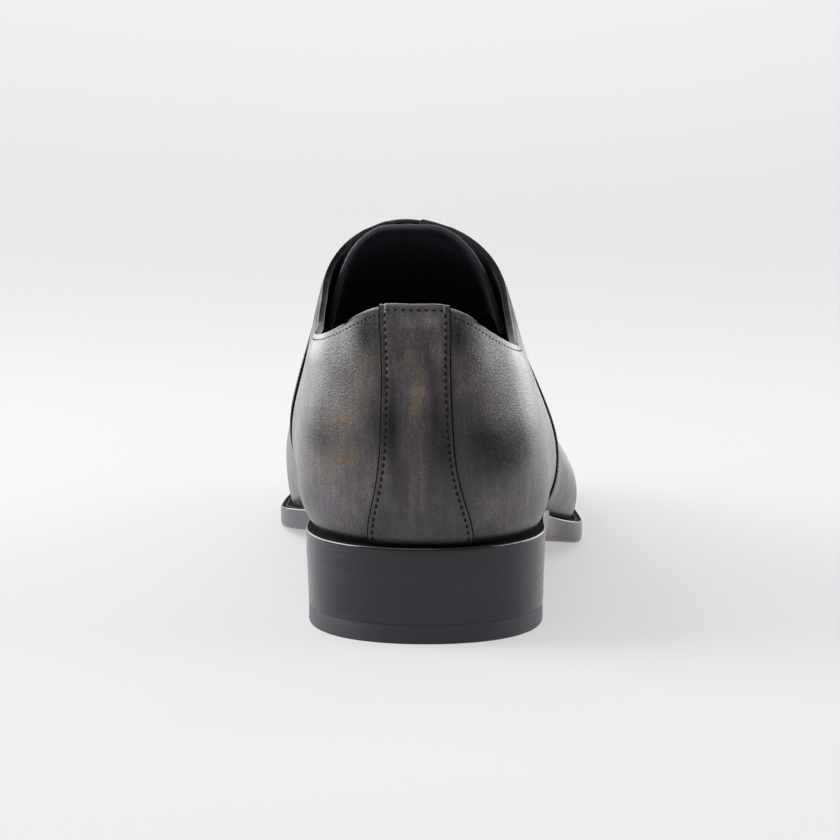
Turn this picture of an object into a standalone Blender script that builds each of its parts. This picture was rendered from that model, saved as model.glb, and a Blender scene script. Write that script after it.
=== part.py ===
"""A cap toe oxford for the right foot: a lasted leather upper on a welted leather sole with a stacked heel.

The shoe is laid out in millimetres on its own last: x to the outer side, y forward from the heel's back,
z up from the floor. "around" is a place on the loop round the shoe: 0 at the back of the heel, positive
along the outer side, negative along the inner side, TIP at the toe. "up" is a place on the rib that rises
there: 0 at the feather edge, WIDEST at the bulge, 1 at the ridge over the foot, and past 1 down the other
side.
"""

from collections import namedtuple
import math

import bmesh
import bpy
import numpy as np

MM = 0.001
QUARTER_TURN = math.pi / 2
STEP_AROUND, STEP_UP, STEP_Y = 0.5, 0.004, 0.5
HALVINGS = 40
SAME_POINT = 1e-6
SHARP_DEG = 40.0

# Main sizes
LENGTH = 306.0
BALL_OUT = 54.1
BALL_IN = 51.3
HEEL_HALF = 35.0
HEEL_LIFT = 20.0
TOE_SPRING = 12.0
WALL = 2.2
CLEAR = 0.3

# Stations on the loop, and where they lie along the shoe on each side
HEEL, WAIST, BALL, TIP = 63.0, 138.0, 211.0, 396.0
HEEL_Y = 40.0
WAIST_Y_OUT, WAIST_Y_IN = 112.0, 118.0
BALL_Y_OUT, BALL_Y_IN = 173.0, 203.0
TIP_X = -6.0
HEEL_FULL = 0.03
TOE_FULL = 0.01

# Outlines in plan: half widths at the stations, and the two ends
Outline = namedtuple("Outline", "back heel waist_out waist_in ball_out ball_in tip")
EDGE = Outline(0.0, HEEL_HALF, 39.5, 29.0, BALL_OUT, BALL_IN, LENGTH)
FEATHER = Outline(3.0, 31.8, 35.5, 25.0, 48.6, 45.8, LENGTH - 6.0)
BULGE = Outline(0.4, 36.8, 42.1, 41.9, 51.1, 48.1, LENGTH - 5.5)

# Ribs: where each meets the ridge, how full its shoulder is, and on each side the height of its widest
# point and how far it is drawn in above that
Section = namedtuple("Section", "around ridge_x ridge_y full bulge_out_z bulge_in_z drawn_out drawn_in")
SECTIONS = (
    Section(0.0, -1.0, 46.0, 0.00, 46.0, 46.0, 0.00, 0.00),
    Section(63.0, -1.0, 52.0, 0.00, 41.5, 41.5, 0.12, 0.075),
    Section(100.0, -1.3, 82.0, 0.03, 40.0, 42.0, 0.12, 0.08),
    Section(138.0, -2.5, 115.0, 0.00, 38.5, 44.5, 0.155, 0.12),
    Section(175.0, -3.8, 150.0, 0.00, 26.0, 36.5, 0.155, 0.09),
    Section(211.0, -4.8, 186.0, 0.00, 17.0, 25.0, 0.10, 0.045),
    Section(260.0, -5.4, 225.0, 0.03, 18.5, 20.0, 0.00, 0.00),
    Section(320.0, -5.8, 258.0, 0.05, 22.0, 22.0, 0.00, 0.00),
    Section(396.0, -6.0, 276.0, 0.05, 27.0, 27.0, 0.00, 0.00),
)
WIDEST = 0.3
BELLY = 0.35
DRAWN_SHARE = 256.0 / 27.0
LEVEL_UP = 0.12
LEAN, LEAN_FROM_Z, LEAN_UNTIL, LEAN_FADE = 0.04, 28.0, 130.0, 85.0

# The ridge over the foot, from the virtual peak above the heel to the toe box
Ridge = namedtuple("Ridge", "y z")
RIDGE = (
    Ridge(46.0, 146.0),
    Ridge(82.0, 121.5),
    Ridge(102.0, 115.0),
    Ridge(115.0, 108.8),
    Ridge(150.0, 88.5),
    Ridge(186.0, 70.0),
    Ridge(225.0, 56.0),
    Ridge(258.0, 48.5),
    Ridge(276.0, 44.5),
)
RIDGE_SLOPES = (-0.9, -0.2)

# The collar's height, up to the top of the throat
Collar = namedtuple("Collar", "around out_z in_z")
COLLAR = (
    Collar(0.0, 94.2, 94.2),
    Collar(15.0, 92.9, 93.7),
    Collar(25.0, 88.3, 90.2),
    Collar(35.0, 84.3, 87.0),
    Collar(50.0, 81.5, 84.9),
    Collar(65.0, 80.2, 83.7),
    Collar(80.0, 80.2, 83.4),
    Collar(95.0, 83.8, 86.0),
    Collar(105.0, 89.6, 91.2),
    Collar(113.0, 96.6, 97.4),
    Collar(120.0, 105.5, 105.2),
    Collar(125.0, 112.8, 112.0),
)
COLLAR_SLOPES = (0.0, 1.5)
THROAT_TOP = 124.0
THROAT_BASE = 213.0
FACING_GAP = 3.8
GAP_CLOSES = 14.0

# Lines that divide the upper, as places around at each height up the wall, and the cap's straight line
Lines = namedtuple("Lines", "up backstay_out backstay_in corner seam_out seam_in")
LINES = (
    Lines(0.00, 15.8, 19.5, 104.0, 133.0, 128.0),
    Lines(0.30, 10.4, 14.0, 108.0, 138.0, 138.0),
    Lines(0.52, 9.2, 12.1, 112.0, 127.5, 122.0),
    Lines(0.75, 9.7, 11.5, 118.0, 160.0, 156.0),
    Lines(1.00, 11.1, 12.3, THROAT_TOP, THROAT_BASE, THROAT_BASE),
)
CAP_Y, CAP_STOPS = 236.0, 200
WALL_ROWS = np.array((0, 0.07, 0.14, 0.22, 0.3, 0.38, 0.46, 0.55, 0.64, 0.73, 0.82, 0.9, 0.96, 1))
STRETCH_CELLS = (2, 12, 7, 7, 9)
BACKSTAY_STRETCH, QUARTER_STRETCHES, VAMP_STRETCHES, CAP_STRETCH = (0, 0), (0, 2), (3, 4), (4, 4)

# Layers, measured from the last's surface
VAMP_RAISED = 1.0
CAP_LAYER = (VAMP_RAISED + CLEAR, VAMP_RAISED + CLEAR + 1.0)
BACKSTAY_LAYER = (CLEAR, CLEAR + 0.9)
BACKSTAY_TOP = 1.015
BACK_Y = BULGE.back - BACKSTAY_LAYER[1]
CENTRE = np.array(((BALL_OUT - BALL_IN) / 2, (LENGTH + BACK_Y) / 2, 0.0))

# Tongue: from behind the top lace to under the vamp
TONGUE_BACK_Y, TONGUE_FRONT_Y = 93.5, 199.0
TONGUE_BACK_HALF, TONGUE_FRONT_HALF = 31.0, 19.0
TONGUE_DEPTH, TONGUE_THICK = -5.2, 1.8
TONGUE_SIDE_LIFT, TONGUE_SIDE_FROM, TONGUE_SIDE_RUN = 1.2, 13.0, 11.0
TONGUE_RISES_Y, TONGUE_RISE_RUN = 174.0, 15.0
TONGUE_CELLS, TONGUE_ACROSS = 12, 10

# Lace: bars over the throat, from eyelet to eyelet
LACE_RADIUS, LACE_ROUNDNESS = 1.0, 2
LACE_OVER, LACE_UNDER = 1.45, -3.6
LACE_BEND, LACE_SHOULDER = 1.6, 3.8
EYELET_ROWS = 5
EYELET_FIRST_Y, EYELET_STEP_Y = 110.5, 14.5
EYELET_HALF = 9.5
EYELET_RADIUS, EYELET_SIDES, PUNCH_PAST = 2.0, 12, 4.0
HIDDEN_RUN_HALF, HIDDEN_TURN = 5.0, 3.0

# Sole: heights above the sole's own underside curve
SOLE_THICK = 4.5
WELT_FOOT, WELT_TOP = SOLE_THICK + CLEAR, 7.2
FEATHER_ABOVE = WELT_TOP + CLEAR
INSOLE_TOP = 7.8
WELT_INSIDE, INSOLE_INSIDE = 3.5, 4.3
LIFT_UNTIL, LIFT_FALLS = 75.0, 148.0
SPRING_FROM_Y = 214.0
LOOP_CELLS = 44
LADDER_ACROSS = 4

# Heel: a stack of lifts and a rubber top lift, with a hollowed breast
TOP_LIFT = 5.5
HEEL_REACH = 97.0
BREAST_HOLLOW = 4.0
HEEL_CELLS = 14

# Edge profiles of the plates: inset from the outline, share of the sole's curve, height above it
Edge = namedtuple("Edge", "inset curve height")
OUTSOLE_EDGE = (Edge(0.5, 1, 0.0), Edge(0.0, 1, 0.6), Edge(0.0, 1, 4.0), Edge(0.3, 1, SOLE_THICK))
INSOLE_EDGE = (Edge(INSOLE_INSIDE, 1, WELT_FOOT), Edge(INSOLE_INSIDE, 1, INSOLE_TOP))
HEEL_STACK_EDGE = (Edge(0.7, 0, TOP_LIFT + CLEAR), Edge(0.2, 1, -CLEAR))
TOP_LIFT_EDGE = (Edge(1.1, 0, 0.0), Edge(0.75, 0, 0.5), Edge(0.7, 0, TOP_LIFT))

# The welt's cross-section: the outline each corner follows, the inset from it, the height
Corner = namedtuple("Corner", "line inset height")
WELT_PROFILE = (
    Corner(EDGE, 0.3, WELT_FOOT),
    Corner(EDGE, 0.0, WELT_FOOT + 0.5),
    Corner(EDGE, 0.0, WELT_TOP - 0.6),
    Corner(EDGE, 0.5, WELT_TOP),
    Corner(FEATHER, WELT_INSIDE, WELT_TOP),
    Corner(FEATHER, WELT_INSIDE, WELT_FOOT),
)

Finish = namedtuple("Finish", "name colour roughness")
UPPER_FINISH = Finish("burnished_leather", (0.045, 0.043, 0.040), 0.34)
CAP_FINISH = Finish("toe_leather", (0.045, 0.043, 0.040), 0.30)
BACKSTAY_FINISH = Finish("backstay_leather", (0.045, 0.043, 0.040), 0.34)
TONGUE_FINISH = Finish("tongue_leather", (0.012, 0.012, 0.012), 0.50)
LACE_FINISH = Finish("waxed_cord", (0.010, 0.010, 0.010), 0.55)
INSOLE_FINISH = Finish("sock_leather", (0.015, 0.014, 0.014), 0.60)
WELT_FINISH = Finish("edge_leather", (0.010, 0.010, 0.012), 0.28)
OUTSOLE_FINISH = Finish("sole_leather", (0.14, 0.035, 0.025), 0.35)
HEEL_FINISH = Finish("heel_leather", (0.020, 0.019, 0.022), 0.38)
TOP_LIFT_FINISH = Finish("top_lift_rubber", (0.018, 0.018, 0.020), 0.55)


def smooth(x):
    x = np.clip(x, 0.0, 1.0)
    return x * x * (3 - 2 * x)


def spline(rows, across, value, end_slopes=(0.0, 0.0)):
    """A curve through one column of a table over another, smooth to its second derivative."""
    knots = np.array([getattr(row, across) for row in rows])
    values = np.array([getattr(row, value) for row in rows])
    gap = np.diff(knots)
    rise = np.diff(values) / gap
    count = len(knots)
    system = np.eye(count)
    target = np.zeros(count)
    target[0], target[-1] = end_slopes
    for i in range(1, count - 1):
        system[i, i - 1 : i + 2] = 1 / gap[i - 1], 2 / gap[i - 1] + 2 / gap[i], 1 / gap[i]
        target[i] = 3 * (rise[i - 1] / gap[i - 1] + rise[i] / gap[i])
    slope = np.linalg.solve(system, target)

    def at(place):
        i = np.clip(np.searchsorted(knots, place) - 1, 0, count - 2)
        s = (place - knots[i]) / gap[i]
        ends = values[i] * (1 + 2 * s) * (1 - s) ** 2 + values[i + 1] * s * s * (3 - 2 * s)
        return ends + gap[i] * (slope[i] * s * (1 - s) ** 2 - slope[i + 1] * s * s * (1 - s))

    return at


RIDGE_X = spline(SECTIONS, "around", "ridge_x")
RIDGE_Y = spline(SECTIONS, "around", "ridge_y")
RIDGE_Z = spline(RIDGE, "y", "z", RIDGE_SLOPES)
BULGE_OUT_Z = spline(SECTIONS, "around", "bulge_out_z")
BULGE_IN_Z = spline(SECTIONS, "around", "bulge_in_z")
FULL = spline(SECTIONS, "around", "full")
DRAWN_OUT = spline(SECTIONS, "around", "drawn_out")
DRAWN_IN = spline(SECTIONS, "around", "drawn_in")
COLLAR_OUT_Z = spline(COLLAR, "around", "out_z", COLLAR_SLOPES)
COLLAR_IN_Z = spline(COLLAR, "around", "in_z", COLLAR_SLOPES)


def hermite(place, start, end, low, high, slope_in, slope_out):
    s = np.clip((place - start) / (end - start), 0.0, 1.0)
    ends = low * (1 + 2 * s) * (1 - s) ** 2 + high * s * s * (3 - 2 * s)
    return ends + (end - start) * (slope_in * s * (1 - s) ** 2 - slope_out * s * s * (1 - s))


def wrapped(around):
    return (np.asarray(around, float) + TIP) % (2 * TIP) - TIP


def outline(around, line):
    """Plan of an outline: an arc round the heel, eased stretches along the waist, an arc round the toe."""
    around = wrapped(around)
    out = around >= 0
    side = np.where(out, 1.0, -1.0)
    place = np.abs(around)
    waist = np.where(out, line.waist_out, line.waist_in)
    ball = np.where(out, line.ball_out, line.ball_in)
    waist_y = np.where(out, WAIST_Y_OUT, WAIST_Y_IN)
    ball_y = np.where(out, BALL_Y_OUT, BALL_Y_IN)

    turn = np.clip(place / HEEL, 0.0, 1.0) * QUARTER_TURN
    full = 1 + HEEL_FULL * np.sin(2 * turn) ** 2
    heel_half = line.heel * np.sin(turn) * full
    heel_y = HEEL_Y - (HEEL_Y - line.back) * np.cos(turn) * full

    turn = np.clip((place - BALL) / (TIP - BALL), 0.0, 1.0) * QUARTER_TURN
    full = 1 + TOE_FULL * np.sin(2 * turn) ** 2
    toe_half = side * TIP_X + (ball - side * TIP_X) * np.cos(turn) * full
    toe_y = ball_y + (line.tip - ball_y) * np.sin(turn) * full

    heel_slope = (HEEL_Y - line.back) * QUARTER_TURN / HEEL
    waist_slope = (ball_y - HEEL_Y) / (BALL - HEEL)
    ball_slope = (line.tip - ball_y) * QUARTER_TURN / (TIP - BALL)
    back_y = hermite(place, HEEL, WAIST, HEEL_Y, waist_y, heel_slope, waist_slope)
    front_y = hermite(place, WAIST, BALL, waist_y, ball_y, waist_slope, ball_slope)
    back_ease = 0.5 - 0.5 * np.cos(math.pi * np.clip((place - HEEL) / (WAIST - HEEL), 0, 1))
    front_ease = 0.5 - 0.5 * np.cos(math.pi * np.clip((place - WAIST) / (BALL - WAIST), 0, 1))
    back_half = line.heel + (waist - line.heel) * back_ease
    front_half = waist + (ball - waist) * front_ease

    stretch = (place < HEEL, place < WAIST, place < BALL)
    half = np.select(stretch, (heel_half, back_half, front_half), toe_half)
    y = np.select(stretch, (heel_y, back_y, front_y), toe_y)
    return side * half, y


def sole_curve(around):
    """Height of the sole's underside: level at the heel, down the waist, flat at the ball, then toe spring."""
    place = np.abs(wrapped(around))
    middle_y = (outline(place, EDGE)[1] + outline(-place, EDGE)[1]) / 2
    spring = np.clip((middle_y - SPRING_FROM_Y) / (LENGTH - SPRING_FROM_Y), 0.0, 1.0)
    return HEEL_LIFT * (1 - smooth((place - LIFT_UNTIL) / LIFT_FALLS)) + TOE_SPRING * spring**2


def sided(around, outer, inner):
    """The value of whichever side's curve this place is on."""
    place = np.abs(around)
    return np.where(around >= 0, outer(place), inner(place))


def rib(around, up):
    """A point of the last's surface, as an array whose last axis is x, y, z."""
    around, up = np.broadcast_arrays(np.asarray(around, float), np.asarray(up, float))
    around = wrapped(np.where(up > 1, -around, around))
    up = np.where(up > 1, 2 - up, up)
    place = np.abs(around)
    foot_x, foot_y = outline(around, FEATHER)
    wide_x, wide_y = outline(around, BULGE)
    foot_z = sole_curve(around) + FEATHER_ABOVE
    wide_z = sided(around, BULGE_OUT_Z, BULGE_IN_Z)
    ridge_x, ridge_y = RIDGE_X(place), RIDGE_Y(place)
    ridge_z = RIDGE_Z(ridge_y)

    s = np.clip(up / WIDEST, 0.0, 1.0)
    left = (1 - s) ** 2
    belly_z = foot_z + BELLY * (wide_z - foot_z)
    low_x = foot_x * left + wide_x * (1 - left)
    low_y = foot_y * left + wide_y * (1 - left)
    low_z = foot_z * left + 2 * s * (1 - s) * belly_z + s * s * wide_z

    turn = np.clip((up - WIDEST) / (1 - WIDEST), 0.0, 1.0) * QUARTER_TURN
    full = 1 + FULL(place) * np.sin(2 * turn) ** 2
    drawn = sided(around, DRAWN_OUT, DRAWN_IN) * DRAWN_SHARE * np.sin(turn) ** 2 * np.cos(turn) ** 6
    reach = np.cos(turn) * (full - drawn)
    ridge_slope = (RIDGE_Z(ridge_y + STEP_Y) - RIDGE_Z(ridge_y - STEP_Y)) / (2 * STEP_Y)
    tilt = ridge_slope * (wide_y - ridge_y) * smooth((place - WAIST) / (BALL - WAIST))
    high_x = ridge_x + (wide_x - ridge_x) * reach
    high_y = ridge_y + (wide_y - ridge_y) * reach
    high_z = wide_z + (ridge_z - wide_z) * np.sin(turn) * full + tilt * np.cos(turn) * np.sin(turn) ** 2

    low = up < WIDEST
    x = np.where(low, low_x, high_x)
    y = np.where(low, low_y, high_y)
    z = np.where(low, low_z, high_z)
    lean = LEAN * (z - LEAN_FROM_Z) * (1 - smooth((place - LEAN_UNTIL) / LEAN_FADE))
    return np.stack((x - lean, y, z), axis=-1)


def skin(around, up, raised):
    """A point off the last's surface by so much. At the feather edge the offset runs level."""
    around, up, raised = np.broadcast_arrays(around, up, raised)
    ridge_end = TIP - 2 * STEP_AROUND
    beside = np.where(up > 1 - STEP_UP, np.clip(around, -ridge_end, ridge_end), around)
    along = rib(beside + STEP_AROUND, up) - rib(beside - STEP_AROUND, up)
    rise = rib(beside, up + STEP_UP) - rib(beside, np.maximum(up - STEP_UP, 0.0))
    normal = np.cross(along, rise)
    normal /= np.linalg.norm(normal, axis=-1, keepdims=True)
    normal[..., 2] *= smooth(up / LEVEL_UP)
    normal /= np.linalg.norm(normal, axis=-1, keepdims=True)
    return rib(around, up) + normal * raised[..., None]


def turn_at_half(around, half):
    """How far round the rib's arc lies a point at this distance from the ridge in plan."""
    place = np.abs(around)
    wide_x, wide_y = outline(around, BULGE)
    reach = np.hypot(wide_x - RIDGE_X(place), wide_y - RIDGE_Y(place))
    return np.arccos(np.clip(half / reach, 0.0, 1.0))


def up_at_turn(turn):
    return WIDEST + (1 - WIDEST) * turn / QUARTER_TURN


def top_edge(around):
    """How far up the ribs reach: the collar at the back, the facings at the throat, the ridge in front."""
    place = np.abs(around)
    low = sided(around, BULGE_OUT_Z, BULGE_IN_Z)
    collar_z = sided(around, COLLAR_OUT_Z, COLLAR_IN_Z)
    sine = (collar_z - low) / (RIDGE_Z(RIDGE_Y(place)) - low)
    collar = np.where(place > THROAT_TOP, QUARTER_TURN, np.arcsin(np.clip(sine, 0.0, 1.0)))
    facing = turn_at_half(around, FACING_GAP * smooth((THROAT_BASE - place) / GAP_CLOSES))
    return up_at_turn(np.where(place < WAIST / 2, collar, np.minimum(collar, facing)))


def up_the_wall(around, share):
    """Turns a share of the wall's height, 1 at its own top edge, into a place up the rib."""
    high = WIDEST + (share - WIDEST) / (1 - WIDEST) * (top_edge(around) - WIDEST)
    return np.where(share <= WIDEST, share, high)


def cap_line(side, rows):
    """Where the cap's edge, straight across the shoe, meets each height up the wall."""
    places = np.linspace(BALL, TIP, CAP_STOPS)
    found = []
    for share in rows:
        around = side * places
        y = rib(around, up_the_wall(around, share))[:, 1]
        found.append(np.interp(CAP_Y, y, places))
    return np.array(found)


def stretch(side, first_last, rows=WALL_ROWS):
    """Places around, [column, row], over a run of the upper's stretches on one side."""
    suffix = "_out" if side > 0 else "_in"
    names = ("backstay" + suffix, "corner", "seam" + suffix)
    inner = [spline(LINES, "up", name)(np.minimum(rows, 1.0)) for name in names]
    lines = [np.zeros_like(rows), *inner, cap_line(side, rows), np.full_like(rows, TIP)]
    first, last = first_last
    columns = []
    for k in range(first, last + 1):
        cells = STRETCH_CELLS[k]
        for i in range(cells + (k == last)):
            columns.append(lines[k] + (lines[k + 1] - lines[k]) * i / cells)
    return side * np.array(columns)


def material(finish):
    made = bpy.data.materials.new(finish.name)
    made.use_nodes = True
    shader = made.node_tree.nodes["Principled BSDF"]
    shader.inputs["Base Color"].default_value = (*finish.colour, 1.0)
    shader.inputs["Roughness"].default_value = finish.roughness
    shader.inputs["Metallic"].default_value = 0.0
    return made


def solid(name, points, faces, finish):
    """A closed mesh object from points in the last's frame, shared points joined, faces turned outwards."""
    made = bmesh.new()
    placed = (np.reshape(points, (-1, 3)) - CENTRE) * MM
    corners = [made.verts.new(point) for point in placed]
    for face in faces:
        made.faces.new([corners[i] for i in face])
    bmesh.ops.remove_doubles(made, verts=made.verts, dist=SAME_POINT)
    bmesh.ops.recalc_face_normals(made, faces=made.faces)
    mesh = bpy.data.meshes.new(name)
    made.to_mesh(mesh)
    made.free()
    mesh.shade_smooth()
    mesh.set_sharp_from_angle(angle=math.radians(SHARP_DEG))
    mesh.materials.append(material(finish))
    thing = bpy.data.objects.new(name, mesh)
    bpy.context.scene.collection.objects.link(thing)
    return thing


def wall(name, outer, inner, free_top, free_ends, finish):
    """A sheet between two grids of points, [column, row]. free_top marks the cells with an open top edge."""
    columns, rows = outer.shape[:2]
    first_inner = columns * rows

    def out(c, r):
        return c * rows + r

    def into(c, r):
        return first_inner + c * rows + r

    faces = []
    for c in range(columns - 1):
        for r in range(rows - 1):
            faces.append((out(c, r), out(c + 1, r), out(c + 1, r + 1), out(c, r + 1)))
            faces.append((into(c, r), into(c, r + 1), into(c + 1, r + 1), into(c + 1, r)))
        faces.append((out(c, 0), into(c, 0), into(c + 1, 0), out(c + 1, 0)))
        if free_top[c]:
            top = rows - 1
            faces.append((out(c, top), out(c + 1, top), into(c + 1, top), into(c, top)))
    for c in (0, columns - 1) if free_ends else ():
        for r in range(rows - 1):
            faces.append((out(c, r), out(c, r + 1), into(c, r + 1), into(c, r)))
    return solid(name, np.concatenate((outer.reshape(-1, 3), inner.reshape(-1, 3))), faces, finish)


def make_upper():
    """Quarters and vamp in one hollow wall, the vamp standing proud of the quarters as a step."""
    quarter_out = stretch(1, QUARTER_STRETCHES)
    quarter_in = stretch(-1, QUARTER_STRETCHES)[::-1]
    vamp_out = stretch(1, VAMP_STRETCHES)
    vamp_in = stretch(-1, VAMP_STRETCHES)[::-1]
    around = np.concatenate((vamp_in, quarter_in, quarter_out, vamp_out))
    raised = np.zeros(len(around))
    raised[: len(vamp_in)] = VAMP_RAISED
    raised[-len(vamp_out) :] = VAMP_RAISED
    up = up_the_wall(around, WALL_ROWS)
    outer = skin(around, up, raised[:, None])
    inner = skin(around, up, -WALL)
    free_top = (raised[:-1] == 0) & (raised[1:] == 0)
    upper = wall("upper", outer, inner, free_top, False, UPPER_FINISH)
    punch = upper.modifiers.new("eyelets", "BOOLEAN")
    punch.operation = "DIFFERENCE"
    punch.object = eyelet_cutter()


def make_toe_cap():
    """The cap over the toe, laid on the vamp and folded together along the ridge."""
    around = np.concatenate((stretch(-1, CAP_STRETCH), stretch(1, CAP_STRETCH)[::-1]))
    up = up_the_wall(around, WALL_ROWS)
    inner, outer = (skin(around, up, raised) for raised in CAP_LAYER)
    wall("toe_cap", outer, inner, np.zeros(len(around) - 1), True, CAP_FINISH)


def make_backstay():
    """The strip over the back seam, standing a little above the collar."""
    rows = WALL_ROWS.copy()
    rows[-1] = BACKSTAY_TOP
    inner_half = stretch(-1, BACKSTAY_STRETCH, rows)[::-1]
    outer_half = stretch(1, BACKSTAY_STRETCH, rows)[1:]
    around = np.concatenate((inner_half, outer_half))
    up = up_the_wall(around, rows)
    inner, outer = (skin(around, up, raised) for raised in BACKSTAY_LAYER)
    wall("backstay", outer, inner, np.ones(len(around) - 1), True, BACKSTAY_FINISH)


def beside_ridge(y, half, raised):
    """A point at y along the shoe, half off the ridge in plan, positive outwards, raised off the surface."""
    y, half = np.broadcast_arrays(np.asarray(y, float), np.asarray(half, float))
    side = np.where(half >= 0, 1.0, -1.0)
    behind, ahead = np.full(y.shape, HEEL), np.full(y.shape, TIP - 2 * STEP_AROUND)
    for _ in range(HALVINGS):
        around = side * (behind + ahead) / 2
        up = up_at_turn(turn_at_half(around, np.abs(half)))
        past = rib(around, up)[..., 1] > y
        ahead = np.where(past, np.abs(around), ahead)
        behind = np.where(past, behind, np.abs(around))
    return skin(around, up, np.asarray(raised, float))


def make_tongue():
    """A curved sheet under the facings that rises at its front end to the vamp it is sewn to."""
    y = np.linspace(TONGUE_BACK_Y, TONGUE_FRONT_Y, TONGUE_CELLS + 1)[:, None]
    share = np.linspace(-1.0, 1.0, TONGUE_ACROSS + 1)[None, :]
    forward = (y - TONGUE_BACK_Y) / (TONGUE_FRONT_Y - TONGUE_BACK_Y)
    half = (TONGUE_BACK_HALF + (TONGUE_FRONT_HALF - TONGUE_BACK_HALF) * forward) * share
    lift = TONGUE_SIDE_LIFT * smooth((np.abs(half) - TONGUE_SIDE_FROM) / TONGUE_SIDE_RUN)
    free = TONGUE_DEPTH + lift
    depth = free + (-WALL - CLEAR - free) * smooth((y - TONGUE_RISES_Y) / TONGUE_RISE_RUN)
    outer = beside_ridge(y, half, depth)
    inner = beside_ridge(y, half, depth - TONGUE_THICK)
    wall("tongue", outer, inner, np.ones(TONGUE_CELLS), True, TONGUE_FINISH)


def eyelet_ys():
    return [EYELET_FIRST_Y + EYELET_STEP_Y * row for row in range(EYELET_ROWS)]


def eyelet_cutter():
    """One hidden object that holds a punch for each eyelet, along the wall's own normal."""
    made = bmesh.new()
    for y in eyelet_ys():
        for half in (-EYELET_HALF, EYELET_HALF):
            low = beside_ridge(y, half, -WALL - PUNCH_PAST)
            high = beside_ridge(y, half, PUNCH_PAST)
            axis = (high - low) / np.linalg.norm(high - low)
            across = np.cross(axis, (0.0, 1.0, 0.0))
            across /= np.linalg.norm(across)
            ahead = np.cross(axis, across)
            rings = []
            for end in (low, high):
                ring = []
                for i in range(EYELET_SIDES):
                    angle = 2 * math.pi * i / EYELET_SIDES
                    point = end + EYELET_RADIUS * (math.cos(angle) * across + math.sin(angle) * ahead)
                    ring.append(made.verts.new((point - CENTRE) * MM))
                rings.append(ring)
            made.faces.new(rings[0])
            made.faces.new(rings[1])
            for i in range(EYELET_SIDES):
                j = (i + 1) % EYELET_SIDES
                made.faces.new((rings[0][i], rings[0][j], rings[1][j], rings[1][i]))
    bmesh.ops.recalc_face_normals(made, faces=made.faces)
    mesh = bpy.data.meshes.new("eyelet_punch")
    made.to_mesh(mesh)
    made.free()
    punch = bpy.data.objects.new("eyelet_punch", mesh)
    punch.hide_render = True
    punch.display_type = "WIRE"
    bpy.context.scene.collection.objects.link(punch)
    return punch


def lace_route():
    """Over each bar, down its eyelet, along under the facing, up the next, and back inside to the top."""
    corner = LACE_BEND * (1 - math.sqrt(0.5))
    rows = eyelet_ys()
    route = []
    side = 1.0
    for row, y in enumerate(rows):
        start, end = -side * EYELET_HALF, side * EYELET_HALF
        route += [
            (y - corner * (row > 0), start, LACE_UNDER + corner),
            (y, start, LACE_UNDER + LACE_BEND),
            (y, start, LACE_OVER - LACE_BEND),
            (y, start + side * corner, LACE_OVER - corner),
            (y, start + side * LACE_BEND, LACE_OVER),
            (y, -side * LACE_SHOULDER, LACE_OVER),
            (y, 0.0, LACE_OVER),
            (y, side * LACE_SHOULDER, LACE_OVER),
            (y, end - side * LACE_BEND, LACE_OVER),
            (y, end - side * corner, LACE_OVER - corner),
            (y, end, LACE_OVER - LACE_BEND),
            (y, end, LACE_UNDER + LACE_BEND),
        ]
        if row + 1 < len(rows):
            route += [
                (y + corner, end, LACE_UNDER + corner),
                (y + LACE_BEND, end, LACE_UNDER),
                (y + EYELET_STEP_Y / 2, end, LACE_UNDER),
                (y + EYELET_STEP_Y - LACE_BEND, end, LACE_UNDER),
            ]
            side = -side
    last = rows[-1]
    route += [
        (last, side * (EYELET_HALF - corner), LACE_UNDER + corner),
        (last, side * (EYELET_HALF - LACE_BEND), LACE_UNDER),
        (last - HIDDEN_TURN, side * HIDDEN_RUN_HALF, LACE_UNDER),
    ]
    route += [(y, side * HIDDEN_RUN_HALF, LACE_UNDER) for y in reversed(rows[:-1])]
    return [beside_ridge(*stop) for stop in route]


def make_lace():
    """One round waxed cord in bars across the throat."""
    cord = bpy.data.curves.new("lace", "CURVE")
    cord.dimensions = "3D"
    cord.bevel_depth = LACE_RADIUS * MM
    cord.bevel_resolution = LACE_ROUNDNESS
    cord.use_fill_caps = True
    route = lace_route()
    run = cord.splines.new("POLY")
    run.points.add(len(route) - 1)
    for stop, point in zip(run.points, route):
        stop.co = (*((point - CENTRE) * MM), 1.0)
    cord.materials.append(material(LACE_FINISH))
    lace = bpy.data.objects.new("lace", cord)
    bpy.context.scene.collection.objects.link(lace)


def inset_outline(around, line, inset):
    ahead_x, ahead_y = outline(around + STEP_AROUND, line)
    behind_x, behind_y = outline(around - STEP_AROUND, line)
    along = np.stack((ahead_x - behind_x, ahead_y - behind_y), axis=-1)
    along /= np.linalg.norm(along, axis=-1, keepdims=True)
    x, y = outline(around, line)
    return x - inset * along[..., 1], y + inset * along[..., 0]


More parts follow.
